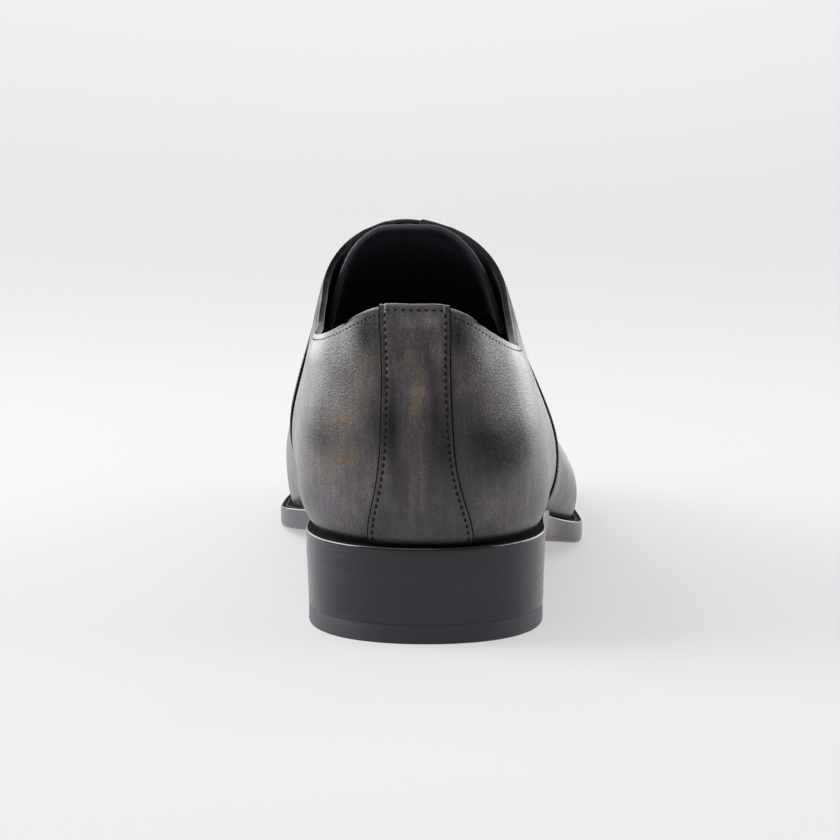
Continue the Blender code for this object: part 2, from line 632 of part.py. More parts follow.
def plate(name, line, edges, finish, reach=TIP, cells=LOOP_CELLS, hollow=0.0):
    """A plate inside an outline, its rungs joining the sides at equal places around, with an edge profile."""
    places = np.linspace(0.0, reach, cells + 1)
    share = np.linspace(0.0, 1.0, LADDER_ACROSS + 1)
    levels = []
    for edge in edges:
        out_x, out_y = inset_outline(places, line, edge.inset)
        in_x, in_y = inset_outline(-places, line, edge.inset)
        level = np.empty((cells + 1, LADDER_ACROSS + 1, 3))
        level[..., 0] = in_x[:, None] + (out_x - in_x)[:, None] * share
        level[..., 1] = in_y[:, None] + (out_y - in_y)[:, None] * share
        level[..., 2] = (edge.curve * sole_curve(places) + edge.height)[:, None]
        level[-1, :, 1] -= hollow * (1 - (2 * share - 1) ** 2)
        levels.append(level)
    size = (cells + 1) * (LADDER_ACROSS + 1)

    def at(level, k, j):
        return level * size + k * (LADDER_ACROSS + 1) + j

    faces = []
    for level in (0, len(edges) - 1):
        for k in range(cells):
            for j in range(LADDER_ACROSS):
                square = ((k, j), (k + 1, j), (k + 1, j + 1), (k, j + 1))
                faces.append([at(level, *corner) for corner in square])
    rim = [(k, LADDER_ACROSS) for k in range(cells + 1)]
    rim += [(cells, j) for j in range(LADDER_ACROSS - 1, 0, -1)]
    rim += [(k, 0) for k in range(cells, -1, -1)]
    for level in range(len(edges) - 1):
        for here, ahead in zip(rim, rim[1:]):
            faces.append((at(level, *here), at(level, *ahead), at(level + 1, *ahead), at(level + 1, *here)))
    solid(name, np.concatenate([level.reshape(-1, 3) for level in levels]), faces, finish)


def make_welt():
    """The strip on the outsole's edge, all the way round, that the upper stands on."""
    around = np.linspace(-TIP, TIP, 2 * LOOP_CELLS + 1)[:-1]
    rings = []
    for corner in WELT_PROFILE:
        x, y = inset_outline(around, corner.line, corner.inset)
        rings.append(np.stack((x, y, sole_curve(around) + corner.height), axis=-1))
    count = len(around)
    faces = []
    for r in range(len(rings)):
        s = (r + 1) % len(rings)
        for c in range(count):
            d = (c + 1) % count
            faces.append((r * count + c, r * count + d, s * count + d, s * count + c))
    solid("welt", np.concatenate(rings), faces, WELT_FINISH)


def main():
    for thing in list(bpy.data.objects):
        bpy.data.objects.remove(thing)
    make_upper()
    make_toe_cap()
    make_backstay()
    make_tongue()
    make_lace()
    plate("insole", FEATHER, INSOLE_EDGE, INSOLE_FINISH)
    make_welt()
    plate("outsole", EDGE, OUTSOLE_EDGE, OUTSOLE_FINISH)
    plate("heel_stack", EDGE, HEEL_STACK_EDGE, HEEL_FINISH, HEEL_REACH, HEEL_CELLS, BREAST_HOLLOW)
    plate("top_lift", EDGE, TOP_LIFT_EDGE, TOP_LIFT_FINISH, HEEL_REACH, HEEL_CELLS, BREAST_HOLLOW)


main()
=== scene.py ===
"""The looks of the cap toe oxford: leather panels, stitches, lining, lace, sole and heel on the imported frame.

Shapes are worked out in millimetres on the last, as the solids are: x to the outer side, y forward from the
heel's back, z up from the floor. "around" is a place on the loop round the shoe, 0 at the back of the heel,
positive along the outer side and TIP at the toe. "up" is a place on the rib that rises there, 0 at the
feather edge and 1 at the ridge over the foot.
"""

from collections import namedtuple
import math

import bmesh
import bpy
import numpy as np
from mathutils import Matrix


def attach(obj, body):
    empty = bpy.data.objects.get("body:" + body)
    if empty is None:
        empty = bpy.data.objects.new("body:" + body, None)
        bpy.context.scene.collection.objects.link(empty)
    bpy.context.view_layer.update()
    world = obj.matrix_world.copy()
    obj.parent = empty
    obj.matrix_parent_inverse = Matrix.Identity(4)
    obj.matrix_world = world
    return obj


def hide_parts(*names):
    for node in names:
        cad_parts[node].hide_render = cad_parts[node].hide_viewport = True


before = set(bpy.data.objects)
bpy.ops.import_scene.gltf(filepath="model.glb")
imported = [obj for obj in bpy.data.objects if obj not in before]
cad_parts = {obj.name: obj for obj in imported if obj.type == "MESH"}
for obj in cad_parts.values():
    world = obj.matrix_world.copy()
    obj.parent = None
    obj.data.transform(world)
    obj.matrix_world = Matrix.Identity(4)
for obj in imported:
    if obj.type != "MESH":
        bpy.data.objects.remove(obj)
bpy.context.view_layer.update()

MM = 0.001
QUARTER_TURN = math.pi / 2
FORWARD, UPWARD = (0.0, 1.0, 0.0), (0.0, 0.0, 1.0)
STEP_AROUND, STEP_UP, STEP_Y = 0.5, 0.004, 0.5
HALVINGS = 40
SAME_POINT, NO_LENGTH = 1e-6, 1e-9


def table(columns, *rows):
    """Rows of values under named columns."""
    row = namedtuple("row", columns)
    return [row(*values) for values in rows]


# The last, as in the solids
LENGTH = 306.0
BALL_OUT, BALL_IN = 54.1, 51.3
HEEL_LIFT, TOE_SPRING = 20.0, 12.0
WALL = 2.2
HEEL, WAIST, BALL, TIP = 63.0, 138.0, 211.0, 396.0
HEEL_Y = 40.0
WAIST_Y_OUT, WAIST_Y_IN = 112.0, 118.0
BALL_Y_OUT, BALL_Y_IN = 173.0, 203.0
TIP_X = -6.0
HEEL_FULL, TOE_FULL = 0.03, 0.01

EDGE, FEATHER, BULGE = table(
    "back heel waist_out waist_in ball_out ball_in tip",
    (0.0, 35.0, 39.5, 29.0, BALL_OUT, BALL_IN, LENGTH),
    (3.0, 31.8, 35.5, 25.0, 48.6, 45.8, LENGTH - 6.0),
    (0.4, 36.8, 42.1, 41.9, 51.1, 48.1, LENGTH - 5.5),
)

SECTIONS = table(
    "around ridge_x ridge_y full bulge_out_z bulge_in_z drawn_out drawn_in",
    (0.0, -1.0, 46.0, 0.00, 46.0, 46.0, 0.00, 0.00),
    (63.0, -1.0, 52.0, 0.00, 41.5, 41.5, 0.12, 0.075),
    (100.0, -1.3, 82.0, 0.03, 40.0, 42.0, 0.12, 0.08),
    (138.0, -2.5, 115.0, 0.00, 38.5, 44.5, 0.155, 0.12),
    (175.0, -3.8, 150.0, 0.00, 26.0, 36.5, 0.155, 0.09),
    (211.0, -4.8, 186.0, 0.00, 17.0, 25.0, 0.10, 0.045),
    (260.0, -5.4, 225.0, 0.03, 18.5, 20.0, 0.00, 0.00),
    (320.0, -5.8, 258.0, 0.05, 22.0, 22.0, 0.00, 0.00),
    (396.0, -6.0, 276.0, 0.05, 27.0, 27.0, 0.00, 0.00),
)
WIDEST = 0.3
BELLY = 0.35
DRAWN_SHARE, DRAWN_LOW = 256.0 / 27.0, 6
LEVEL_UP = 0.12
LEAN, LEAN_FROM_Z, LEAN_UNTIL, LEAN_FADE = 0.04, 28.0, 130.0, 85.0

RIDGE = table(
    "y z",
    (46.0, 146.0),
    (82.0, 121.5),
    (102.0, 115.0),
    (115.0, 108.8),
    (150.0, 88.5),
    (186.0, 70.0),
    (225.0, 56.0),
    (258.0, 48.5),
    (276.0, 44.5),
)
RIDGE_SLOPES = (-0.9, -0.2)

COLLAR = table(
    "around out_z in_z",
    (0.0, 94.2, 94.2),
    (15.0, 92.9, 93.7),
    (25.0, 88.3, 90.2),
    (35.0, 84.3, 87.0),
    (50.0, 82.0, 85.3),
    (65.0, 81.4, 84.9),
    (80.0, 82.2, 85.3),
    (95.0, 86.0, 88.0),
    (105.0, 90.8, 92.2),
    (113.0, 96.6, 97.4),
    (120.0, 105.5, 105.2),
    (125.0, 112.8, 112.0),
)
COLLAR_SLOPES = (0.0, 1.5)
THROAT_TOP, THROAT_BASE, CORNER_ROUND = 124.0, 213.0, 7.0
FACING_GAP, GAP_CLOSES = 3.8, 14.0
EVEN_LOW, EVEN_RISE, EVEN_FROM, EVEN_RUN = 0.49, 0.47, 65.0, 95.0
EVEN_GROWS, EVEN_UNTIL, EVEN_FADES = 30.0, 150.0, 40.0

LINES = table(
    "up backstay_out backstay_in corner seam_out seam_in",
    (0.00, 15.8, 19.5, 104.0, 133.0, 128.0),
    (0.30, 10.4, 14.0, 108.0, 138.0, 138.0),
    (0.52, 9.2, 12.1, 112.0, 127.5, 122.0),
    (0.75, 9.7, 11.5, 118.0, 160.0, 156.0),
    (1.00, 11.1, 12.3, THROAT_TOP, THROAT_BASE, THROAT_BASE),
)
CAP_Y, CAP_STOPS = 236.0, 200

# Layers, measured from the last's surface, the overlap of one panel under the next, and their edges
VAMP_RAISED = 1.0
CAP_RAISED = 2.3
BACKSTAY_RAISED = 1.2
STRIP_RAISED = 0.8
CHANNEL, CHANNEL_HALF = 0.22, 0.55
LAID_ON = 0.03
TUCK = 6.0
COLLAR_THIN, COLLAR_THIN_FROM = 0.5, 0.9
PANEL_BULGE, STRIP_BULGE, TONGUE_BULGE, SKIVED_STEPS = 0.5, 1.3, 0.35, 2
ROLL, ROLL_RUN = 1.5, 9.0
ROLL_FROM, ROLL_GROWS, ROLL_UNTIL, ROLL_FADES = 28.0, 26.0, 98.0, 18.0

TONGUE_BACK_Y, TONGUE_FRONT_Y = 93.5, 199.0
TONGUE_BACK_HALF, TONGUE_FRONT_HALF = 37.0, 19.0
TONGUE_DEPTH, TONGUE_THICK = -5.2, 1.8
TONGUE_SIDE_LIFT, TONGUE_SIDE_FROM, TONGUE_SIDE_RUN = 1.2, 13.0, 11.0
TONGUE_RISES_Y, TONGUE_RISE_RUN = 174.0, 15.0
TONGUE_TOP_RAISED = -WALL - 0.3
LIP, LIP_FROM, LIP_RUN, LIP_UNTIL, LIP_FADE = 1.7, 2.0, 11.0, 14.0, 12.0
LIP_END_Y, LIP_END_RUN = 98.0, 8.0

LACE_RADIUS = 1.0
LACE_OVER, LACE_UNDER = 1.45, -3.6
LACE_BEND, LACE_SHOULDER = 1.6, 3.8
LACE_SEAM = (0.0, 0.3, 1.0)
EYELET_ROWS = 5
EYELET_FIRST_Y, EYELET_STEP_Y = 110.5, 14.5
EYELET_HALF, EYELET_RADIUS = 9.5, 1.8
HIDDEN_RUN_HALF, HIDDEN_TURN = 5.0, 3.0

WELT_TOP = 7.2
FEATHER_ABOVE = WELT_TOP + 0.3
LIFT_UNTIL, LIFT_FALLS = 75.0, 148.0
SPRING_FROM_Y = 214.0
TOP_LIFT, HEEL_REACH, BREAST_HOLLOW = 5.5, 97.0, 4.0

CENTRE = np.array(((BALL_OUT - BALL_IN) / 2, (LENGTH + BULGE.back - BACKSTAY_RAISED) / 2, 0.0))

# How finely the panels are cut
WALL_CELLS = 72
WALL_ROWS = np.linspace(0.0, 1.0, WALL_CELLS + 1)
QUARTER_CELLS, FACING_CELLS, TUCK_CELLS = 110, 56, 4
VAMP_CELLS, CAP_CELLS = 52, 80
BACKSTAY_CELLS = 72
TONGUE_CELLS, TONGUE_ACROSS = 80, 96
LOOP_CELLS, WELT_CELLS, LADDER_ACROSS = 180, 720, 12
HEEL_CELLS = 70
RIM_STEPS, SHARP_DEG = 5, 50.0
LACE_SIDES, LACE_STEPS = 14, 6
EYELET_SIDES, PUNCH_PAST = 28, 4.0


def smooth(x):
    x = np.clip(x, 0.0, 1.0)
    return x * x * (3 - 2 * x)


def unit(vectors):
    return vectors / np.maximum(np.linalg.norm(vectors, axis=-1, keepdims=True), NO_LENGTH)


def matched(*values):
    """The values as arrays of one shape."""
    return np.broadcast_arrays(*(np.asarray(value, float) for value in values))


def cubic(s, low, high, slope_in, slope_out):
    """From low to high as s runs from 0 to 1, with the slopes given at its ends."""
    ends = low * (1 + 2 * s) * (1 - s) ** 2 + high * s * s * (3 - 2 * s)
    return ends + slope_in * s * (1 - s) ** 2 - slope_out * s * s * (1 - s)


def spline(rows, across, value, end_slopes=(0.0, 0.0)):
    """A curve through one column of a table over another, smooth to its second derivative."""
    knots = np.array([getattr(row, across) for row in rows])
    values = np.array([getattr(row, value) for row in rows])
    gap = np.diff(knots)
    rise = np.diff(values) / gap
    count = len(knots)
    system = np.eye(count)
    target = np.zeros(count)
    target[0], target[-1] = end_slopes
    for i in range(1, count - 1):
        system[i, i - 1 : i + 2] = 1 / gap[i - 1], 2 / gap[i - 1] + 2 / gap[i], 1 / gap[i]
        target[i] = 3 * (rise[i - 1] / gap[i - 1] + rise[i] / gap[i])
    slope = np.linalg.solve(system, target)

    def at(place):
        i = np.clip(np.searchsorted(knots, place) - 1, 0, count - 2)
        s = (place - knots[i]) / gap[i]
        return cubic(s, values[i], values[i + 1], gap[i] * slope[i], gap[i] * slope[i + 1])

    return at


RIDGE_X, RIDGE_Y, FULL, BULGE_OUT_Z, BULGE_IN_Z, DRAWN_OUT, DRAWN_IN = (
    spline(SECTIONS, "around", column) for column in SECTIONS[0]._fields[1:]
)
RIDGE_Z = spline(RIDGE, "y", "z", RIDGE_SLOPES)
COLLAR_OUT_Z, COLLAR_IN_Z = (spline(COLLAR, "around", column, COLLAR_SLOPES) for column in ("out_z", "in_z"))


def hermite(place, start, end, low, high, slope_in, slope_out):
    s = np.clip((place - start) / (end - start), 0.0, 1.0)
    return cubic(s, low, high, (end - start) * slope_in, (end - start) * slope_out)


def wrapped(around):
    return (np.asarray(around, float) + TIP) % (2 * TIP) - TIP


def outline(around, line):
    """Plan of an outline: an arc round the heel, eased stretches along the waist, an arc round the toe."""
    around = wrapped(around)
    out = around >= 0
    side = np.where(out, 1.0, -1.0)
    place = np.abs(around)
    waist = np.where(out, line.waist_out, line.waist_in)
    ball = np.where(out, line.ball_out, line.ball_in)
    waist_y = np.where(out, WAIST_Y_OUT, WAIST_Y_IN)
    ball_y = np.where(out, BALL_Y_OUT, BALL_Y_IN)

    turn = np.clip(place / HEEL, 0.0, 1.0) * QUARTER_TURN
    full = 1 + HEEL_FULL * np.sin(2 * turn) ** 2
    heel_half = line.heel * np.sin(turn) * full
    heel_y = HEEL_Y - (HEEL_Y - line.back) * np.cos(turn) * full

    turn = np.clip((place - BALL) / (TIP - BALL), 0.0, 1.0) * QUARTER_TURN
    full = 1 + TOE_FULL * np.sin(2 * turn) ** 2
    toe_half = side * TIP_X + (ball - side * TIP_X) * np.cos(turn) * full
    toe_y = ball_y + (line.tip - ball_y) * np.sin(turn) * full

    heel_slope = (HEEL_Y - line.back) * QUARTER_TURN / HEEL
    waist_slope = (ball_y - HEEL_Y) / (BALL - HEEL)
    ball_slope = (line.tip - ball_y) * QUARTER_TURN / (TIP - BALL)
    back_y = hermite(place, HEEL, WAIST, HEEL_Y, waist_y, heel_slope, waist_slope)
    front_y = hermite(place, WAIST, BALL, waist_y, ball_y, waist_slope, ball_slope)
    back_ease = 0.5 - 0.5 * np.cos(math.pi * np.clip((place - HEEL) / (WAIST - HEEL), 0, 1))
    front_ease = 0.5 - 0.5 * np.cos(math.pi * np.clip((place - WAIST) / (BALL - WAIST), 0, 1))
    back_half = line.heel + (waist - line.heel) * back_ease
    front_half = waist + (ball - waist) * front_ease

    stretch = (place < HEEL, place < WAIST, place < BALL)
    half = np.select(stretch, (heel_half, back_half, front_half), toe_half)
    y = np.select(stretch, (heel_y, back_y, front_y), toe_y)
    return side * half, y


def sole_curve(around):
    """Height of the sole's underside: level at the heel, down the waist, flat at the ball, then rising."""
    place = np.abs(wrapped(around))
    middle_y = (outline(place, EDGE)[1] + outline(-place, EDGE)[1]) / 2
    spring = np.clip((middle_y - SPRING_FROM_Y) / (LENGTH - SPRING_FROM_Y), 0.0, 1.0)
    return HEEL_LIFT * (1 - smooth((place - LIFT_UNTIL) / LIFT_FALLS)) + TOE_SPRING * spring**2


def sided(around, outer, inner):
    """The value of whichever side's curve this place is on."""
    place = np.abs(around)
    return np.where(around >= 0, outer(place), inner(place))


def rib(around, up):
    """A point of the last's surface, as an array whose last axis is x, y, z."""
    around, up = matched(around, up)
    around = wrapped(np.where(up > 1, -around, around))
    up = np.where(up > 1, 2 - up, up)
    place = np.abs(around)
    foot_x, foot_y = outline(around, FEATHER)
    wide_x, wide_y = outline(around, BULGE)
    foot_z = sole_curve(around) + FEATHER_ABOVE
    wide_z = sided(around, BULGE_OUT_Z, BULGE_IN_Z)
    ridge_x, ridge_y = RIDGE_X(place), RIDGE_Y(place)
    ridge_z = RIDGE_Z(ridge_y)

    s = np.clip(up / WIDEST, 0.0, 1.0)
    left = (1 - s) ** 2
    belly_z = foot_z + BELLY * (wide_z - foot_z)
    low_x = foot_x * left + wide_x * (1 - left)
    low_y = foot_y * left + wide_y * (1 - left)
    low_z = foot_z * left + 2 * s * (1 - s) * belly_z + s * s * wide_z

    turn = np.clip((up - WIDEST) / (1 - WIDEST), 0.0, 1.0) * QUARTER_TURN
    full = 1 + FULL(place) * np.sin(2 * turn) ** 2
    drawn = sided(around, DRAWN_OUT, DRAWN_IN) * DRAWN_SHARE * np.sin(turn) ** 2 * np.cos(turn) ** DRAWN_LOW
    reach = np.cos(turn) * (full - drawn)
    ridge_slope = (RIDGE_Z(ridge_y + STEP_Y) - RIDGE_Z(ridge_y - STEP_Y)) / (2 * STEP_Y)
    tilt = ridge_slope * (wide_y - ridge_y) * smooth((place - WAIST) / (BALL - WAIST))
    high_x = ridge_x + (wide_x - ridge_x) * reach
    high_y = ridge_y + (wide_y - ridge_y) * reach
    high_z = wide_z + (ridge_z - wide_z) * np.sin(turn) * full + tilt * np.cos(turn) * np.sin(turn) ** 2

    low = up < WIDEST
    x = np.where(low, low_x, high_x)
    y = np.where(low, low_y, high_y)
    z = np.where(low, low_z, high_z)
    lean = LEAN * (z - LEAN_FROM_Z) * (1 - smooth((place - LEAN_UNTIL) / LEAN_FADE))
    return np.stack((x - lean, y, z), axis=-1)


def directions(around, up):
    """The surface's own directions at a place: forward round the loop, up the rib, and out."""
    around, up = matched(around, up)
    ridge_end = TIP - 2 * STEP_AROUND
    beside = np.where(up > 1 - STEP_UP, np.clip(around, -ridge_end, ridge_end), around)
    along = rib(beside + STEP_AROUND, up) - rib(beside - STEP_AROUND, up)
    rise = rib(beside, up + STEP_UP) - rib(beside, np.maximum(up - STEP_UP, 0.0))
    return along, rise, unit(np.cross(along, rise))


def skin(around, up, raised):
    """A point off the last's surface by so much. At the feather edge the offset runs level."""
    around, up, raised = matched(around, up, raised)
    normal = directions(around, up)[2]
    normal[..., 2] *= smooth(up / LEVEL_UP)
    return rib(around, up) + unit(normal) * raised[..., None]


def shifted(around, up, forward=0.0, higher=0.0):
    """A place moved by so many millimetres round the loop, away from the heel, and up the rib."""
    along, rise, _ = directions(around, up)
    per_around = np.linalg.norm(along, axis=-1) / (2 * STEP_AROUND)
    per_up = np.linalg.norm(rise, axis=-1) / (2 * STEP_UP)
    side = np.where(np.asarray(around) >= 0, 1.0, -1.0)
    return around + side * forward / per_around, up + higher / per_up


def turn_at_half(around, half):
    """How far round the rib's arc lies a point at this distance from the ridge in plan."""
    place = np.abs(around)
    wide_x, wide_y = outline(around, BULGE)
    reach = np.hypot(wide_x - RIDGE_X(place), wide_y - RIDGE_Y(place))
    return np.arccos(np.clip(half / reach, 0.0, 1.0))


def up_at_turn(turn):
    return WIDEST + (1 - WIDEST) * turn / QUARTER_TURN


def top_edge(around):
    """How far up the ribs reach: the collar at the back, the facings at the throat, the ridge in front."""
    place = np.abs(around)
    low = sided(around, BULGE_OUT_Z, BULGE_IN_Z)
    collar_z = sided(around, COLLAR_OUT_Z, COLLAR_IN_Z)
    sine = (collar_z - low) / (RIDGE_Z(RIDGE_Y(place)) - low)
    collar = np.arcsin(np.clip(sine, 0.0, 1.0))
    collar += (QUARTER_TURN - collar) * smooth((place - THROAT_TOP) / CORNER_ROUND)
    facing = turn_at_half(around, FACING_GAP * smooth((THROAT_BASE - place) / GAP_CLOSES))
    return up_at_turn(np.where(place < WAIST / 2, collar, np.minimum(collar, facing)))


def collar_roll(around, up):
    """How far the wall leans in under the collar, most at the edge itself along the sides."""
    place = np.abs(around)
    per_up = np.linalg.norm(directions(around, up)[1], axis=-1) / (2 * STEP_UP)
    near = np.clip(1 - (top_edge(around) - up) * per_up / ROLL_RUN, 0.0, 1.0)
    along = smooth((place - ROLL_FROM) / ROLL_GROWS) * (1 - smooth((place - ROLL_UNTIL) / ROLL_FADES))
    return -ROLL * along * near**2


def up_the_wall(around, share):
    """Turns a share of the wall's height, 1 at its top edge, into a place up the rib.

    Under the throat's corner, where the edge climbs steeply, the rows below it follow an even rise.
    """
    place = np.abs(around)
    top = top_edge(around)
    even = EVEN_LOW + EVEN_RISE * smooth((place - EVEN_FROM) / EVEN_RUN)
    near = smooth((place - EVEN_FROM) / EVEN_GROWS) * (1 - smooth((place - EVEN_UNTIL) / EVEN_FADES))
    level = top + (even - top) * near
    s = (share - WIDEST) / (1 - WIDEST)
    high = WIDEST + s * (level - WIDEST) + s**3 * (top - level)
    return np.where(share <= WIDEST, share, high)


def line_at(name, side, rows):
    """One of the lines that divide the upper, as a place around at each height up the wall."""
    column = name if name == "corner" else name + ("_out" if side > 0 else "_in")
    return spline(LINES, "up", column)(rows)


def cap_line(side, rows):
    """Where the cap's edge, straight across the shoe, meets each height up the wall."""
    places = np.linspace(BALL, TIP, CAP_STOPS)
    found = []
    for share in rows:
        around = side * places
        y = rib(around, up_the_wall(around, share))[:, 1]
        found.append(np.interp(CAP_Y, y, places))
    return np.array(found)


def between(lines, cells):
    """Columns from each line to the next, so many cells apart."""
    columns = []
    for start, end, count in zip(lines, lines[1:], cells):
        columns += [start + (end - start) * i / count for i in range(count)]
    columns.append(lines[-1])
    return np.array(columns)


def beside_ridge(y, half, raised):
    """A point at y along the shoe, half off the ridge in plan, positive outwards, raised off the surface."""
    y, half = matched(y, half)
    side = np.where(half >= 0, 1.0, -1.0)
    behind, ahead = np.full(y.shape, HEEL), np.full(y.shape, TIP - 2 * STEP_AROUND)
    for _ in range(HALVINGS):
        around = side * (behind + ahead) / 2
        up = up_at_turn(turn_at_half(around, np.abs(half)))
        past = rib(around, up)[..., 1] > y
        ahead = np.where(past, np.abs(around), ahead)
        behind = np.where(past, behind, np.abs(around))
    return skin(around, up, raised)


# Patina on the back of the shoe: soft spots, in millimetres across and up, with how much lighter or darker each
# is, and how brown and how olive
SPOTS = table(
    "x z wide high tone warm olive",
    (-17.0, 87.0, 3.2, 4.5, -0.30, 0.5, 0.0),
    (-16.0, 79.0, 4.0, 4.5, 0.04, 0.1, 0.9),
    (-23.5, 74.5, 3.2, 4.0, -0.14, 0.4, 0.7),
    (-18.4, 71.5, 3.2, 4.5, 0.12, 0.2, 0.6),
    (-20.5, 64.0, 4.0, 4.5, 0.22, 0.2, 0.7),
    (-29.0, 64.0, 3.6, 3.6, -0.12, 0.0, 0.9),
    (-24.0, 59.5, 4.2, 4.2, 0.0, 0.3, 0.7),
    (-30.5, 56.5, 4.2, 4.6, -0.26, 0.9, 0.3),
    (-28.0, 47.5, 4.5, 3.2, 0.08, 0.0, 0.9),
    (-22.0, 51.5, 5.0, 3.4, 0.06, 0.3, 0.9),
    (-14.2, 63.0, 2.2, 9.0, -0.05, 0.1, 0.5),
    (-22.0, 40.0, 9.0, 6.0, 0.16, 0.0, 0.1),
    (-15.5, 34.0, 4.0, 6.0, -0.14, 0.1, 0.0),
    (-9.8, 64.0, 2.2, 8.0, -0.20, 0.3, 0.0),
    (-9.2, 53.0, 2.4, 8.5, -0.20, 0.3, 0.0),
    (-8.5, 82.0, 2.4, 6.0, 0.0, 0.0, 0.4),
    (-4.6, 80.5, 1.6, 5.5, 0.18, 0.3, 0.5),
    (-3.0, 66.0, 2.4, 7.0, 0.19, 0.4, 0.6),
    (-1.2, 74.0, 1.8, 7.0, 0.15, 0.2, 0.6),
    (-2.6, 54.0, 2.5, 6.5, 0.18, 0.9, 0.1),
    (-3.9, 42.0, 1.6, 7.0, 0.22, 0.5, 0.1),
    (-0.7, 43.0, 1.4, 8.0, 0.22, 0.3, 0.3),
    (2.4, 64.0, 1.8, 8.0, -0.14, 0.5, 0.0),
    (4.8, 56.0, 2.2, 8.0, -0.18, 0.4, 0.0),
    (-5.5, 90.0, 3.2, 3.0, 0.12, 0.1, 0.2),
    (1.0, 90.5, 3.8, 3.0, 0.30, 0.1, 0.5),
    (3.6, 81.0, 2.2, 5.0, 0.16, 0.1, 0.3),
    (5.0, 39.0, 3.4, 8.0, 0.10, 0.3, 0.0),
    (9.2, 86.0, 3.0, 4.5, -0.20, 0.5, 0.0),
    (13.5, 78.0, 3.6, 4.0, 0.08, 0.4, 0.3),
    (9.8, 73.0, 2.6, 4.0, 0.14, 0.0, 0.3),
    (8.6, 78.5, 2.4, 4.0, 0.12, 0.0, 0.3),
    (15.5, 71.0, 4.0, 4.0, 0.11, 0.3, 0.3),
    (20.0, 66.0, 4.5, 3.6, 0.06, 0.5, 0.2),
    (11.0, 61.5, 4.2, 4.2, 0.0, 0.4, 0.0),
    (17.0, 57.0, 5.6, 4.2, -0.22, 0.4, 0.0),
    (26.0, 56.5, 5.4, 4.6, -0.26, 0.4, 0.0),
    (22.0, 51.0, 7.5, 4.2, -0.24, 0.4, 0.0),
    (13.0, 48.0, 5.0, 4.5, 0.03, 0.2, 0.0),
    (20.0, 38.0, 9.0, 6.0, 0.19, 0.1, 0.0),
)
SPOTS_END_Y, SPOTS_FADE = 34.0, 22.0
FACING_FROM_Y, FACING_RUN, FACING_FROM_Z, FACING_HIGH = 30.0, 34.0, 72.0, 16.0
FACING_DARK, FACING_ROUGH = 0.06, 0.25
TOE_DARK, TOE_FROM_Y, TOE_RUN = 0.15, 185.0, 75.0
CLOUDS_FROM_Y, CLOUDS_RUN = 34.0, 40.0
CLOUD_DARK = 0.14
LEDGE_STOPS = np.linspace(0.0, TIP - STEP_AROUND, 60)
LEDGE_LINE = (outline(LEDGE_STOPS, EDGE)[1], sole_curve(LEDGE_STOPS) + WELT_TOP)
# Painted shade low on the upper, in the gap above the welt: the cap on the height kept, where the darkening
# starts and ends, and how much darker it makes the tone
RISE_MOST, GAP_SHADE_FROM, GAP_SHADE_TO, GAP_SHADE_BY = 8.0, 1.0, 2.8, 0.6


def patina(points):
    """How light, brown and olive the leather is at each point from the spots, and which area it lies in."""
    x, y, z = points[:, 0], points[:, 1], points[:, 2]
    back = 1 - smooth((y - SPOTS_END_Y) / SPOTS_FADE)
    fields = {name: np.zeros(len(points)) for name in ("tone", "warm", "olive")}
    for spot in SPOTS:
        near = back * np.exp(-(((x - spot.x) / spot.wide) ** 2) - ((z - spot.z) / spot.high) ** 2)
        for name, values in fields.items():
            values += getattr(spot, name) * near
    fields["facing"] = smooth((y - FACING_FROM_Y) / FACING_RUN) * smooth((z - FACING_FROM_Z) / FACING_HIGH)
    fields["tone"] -= TOE_DARK * smooth((y - TOE_FROM_Y) / TOE_RUN)
    fields["clouds"] = smooth((y - CLOUDS_FROM_Y) / CLOUDS_RUN)
    # Height over the welt's ledge, which sets the painted shade low on the upper
    ledge = np.interp(y, *LEDGE_LINE)
    fields["rise"] = np.minimum(z - ledge, RISE_MOST)
    return fields


# Materials
NOISE_LOW, NOISE_HIGH = 0.3, 0.7
MIX_AMOUNT, MIX_FIRST, MIX_SECOND, MIX_RESULT = 0, 6, 7, 2


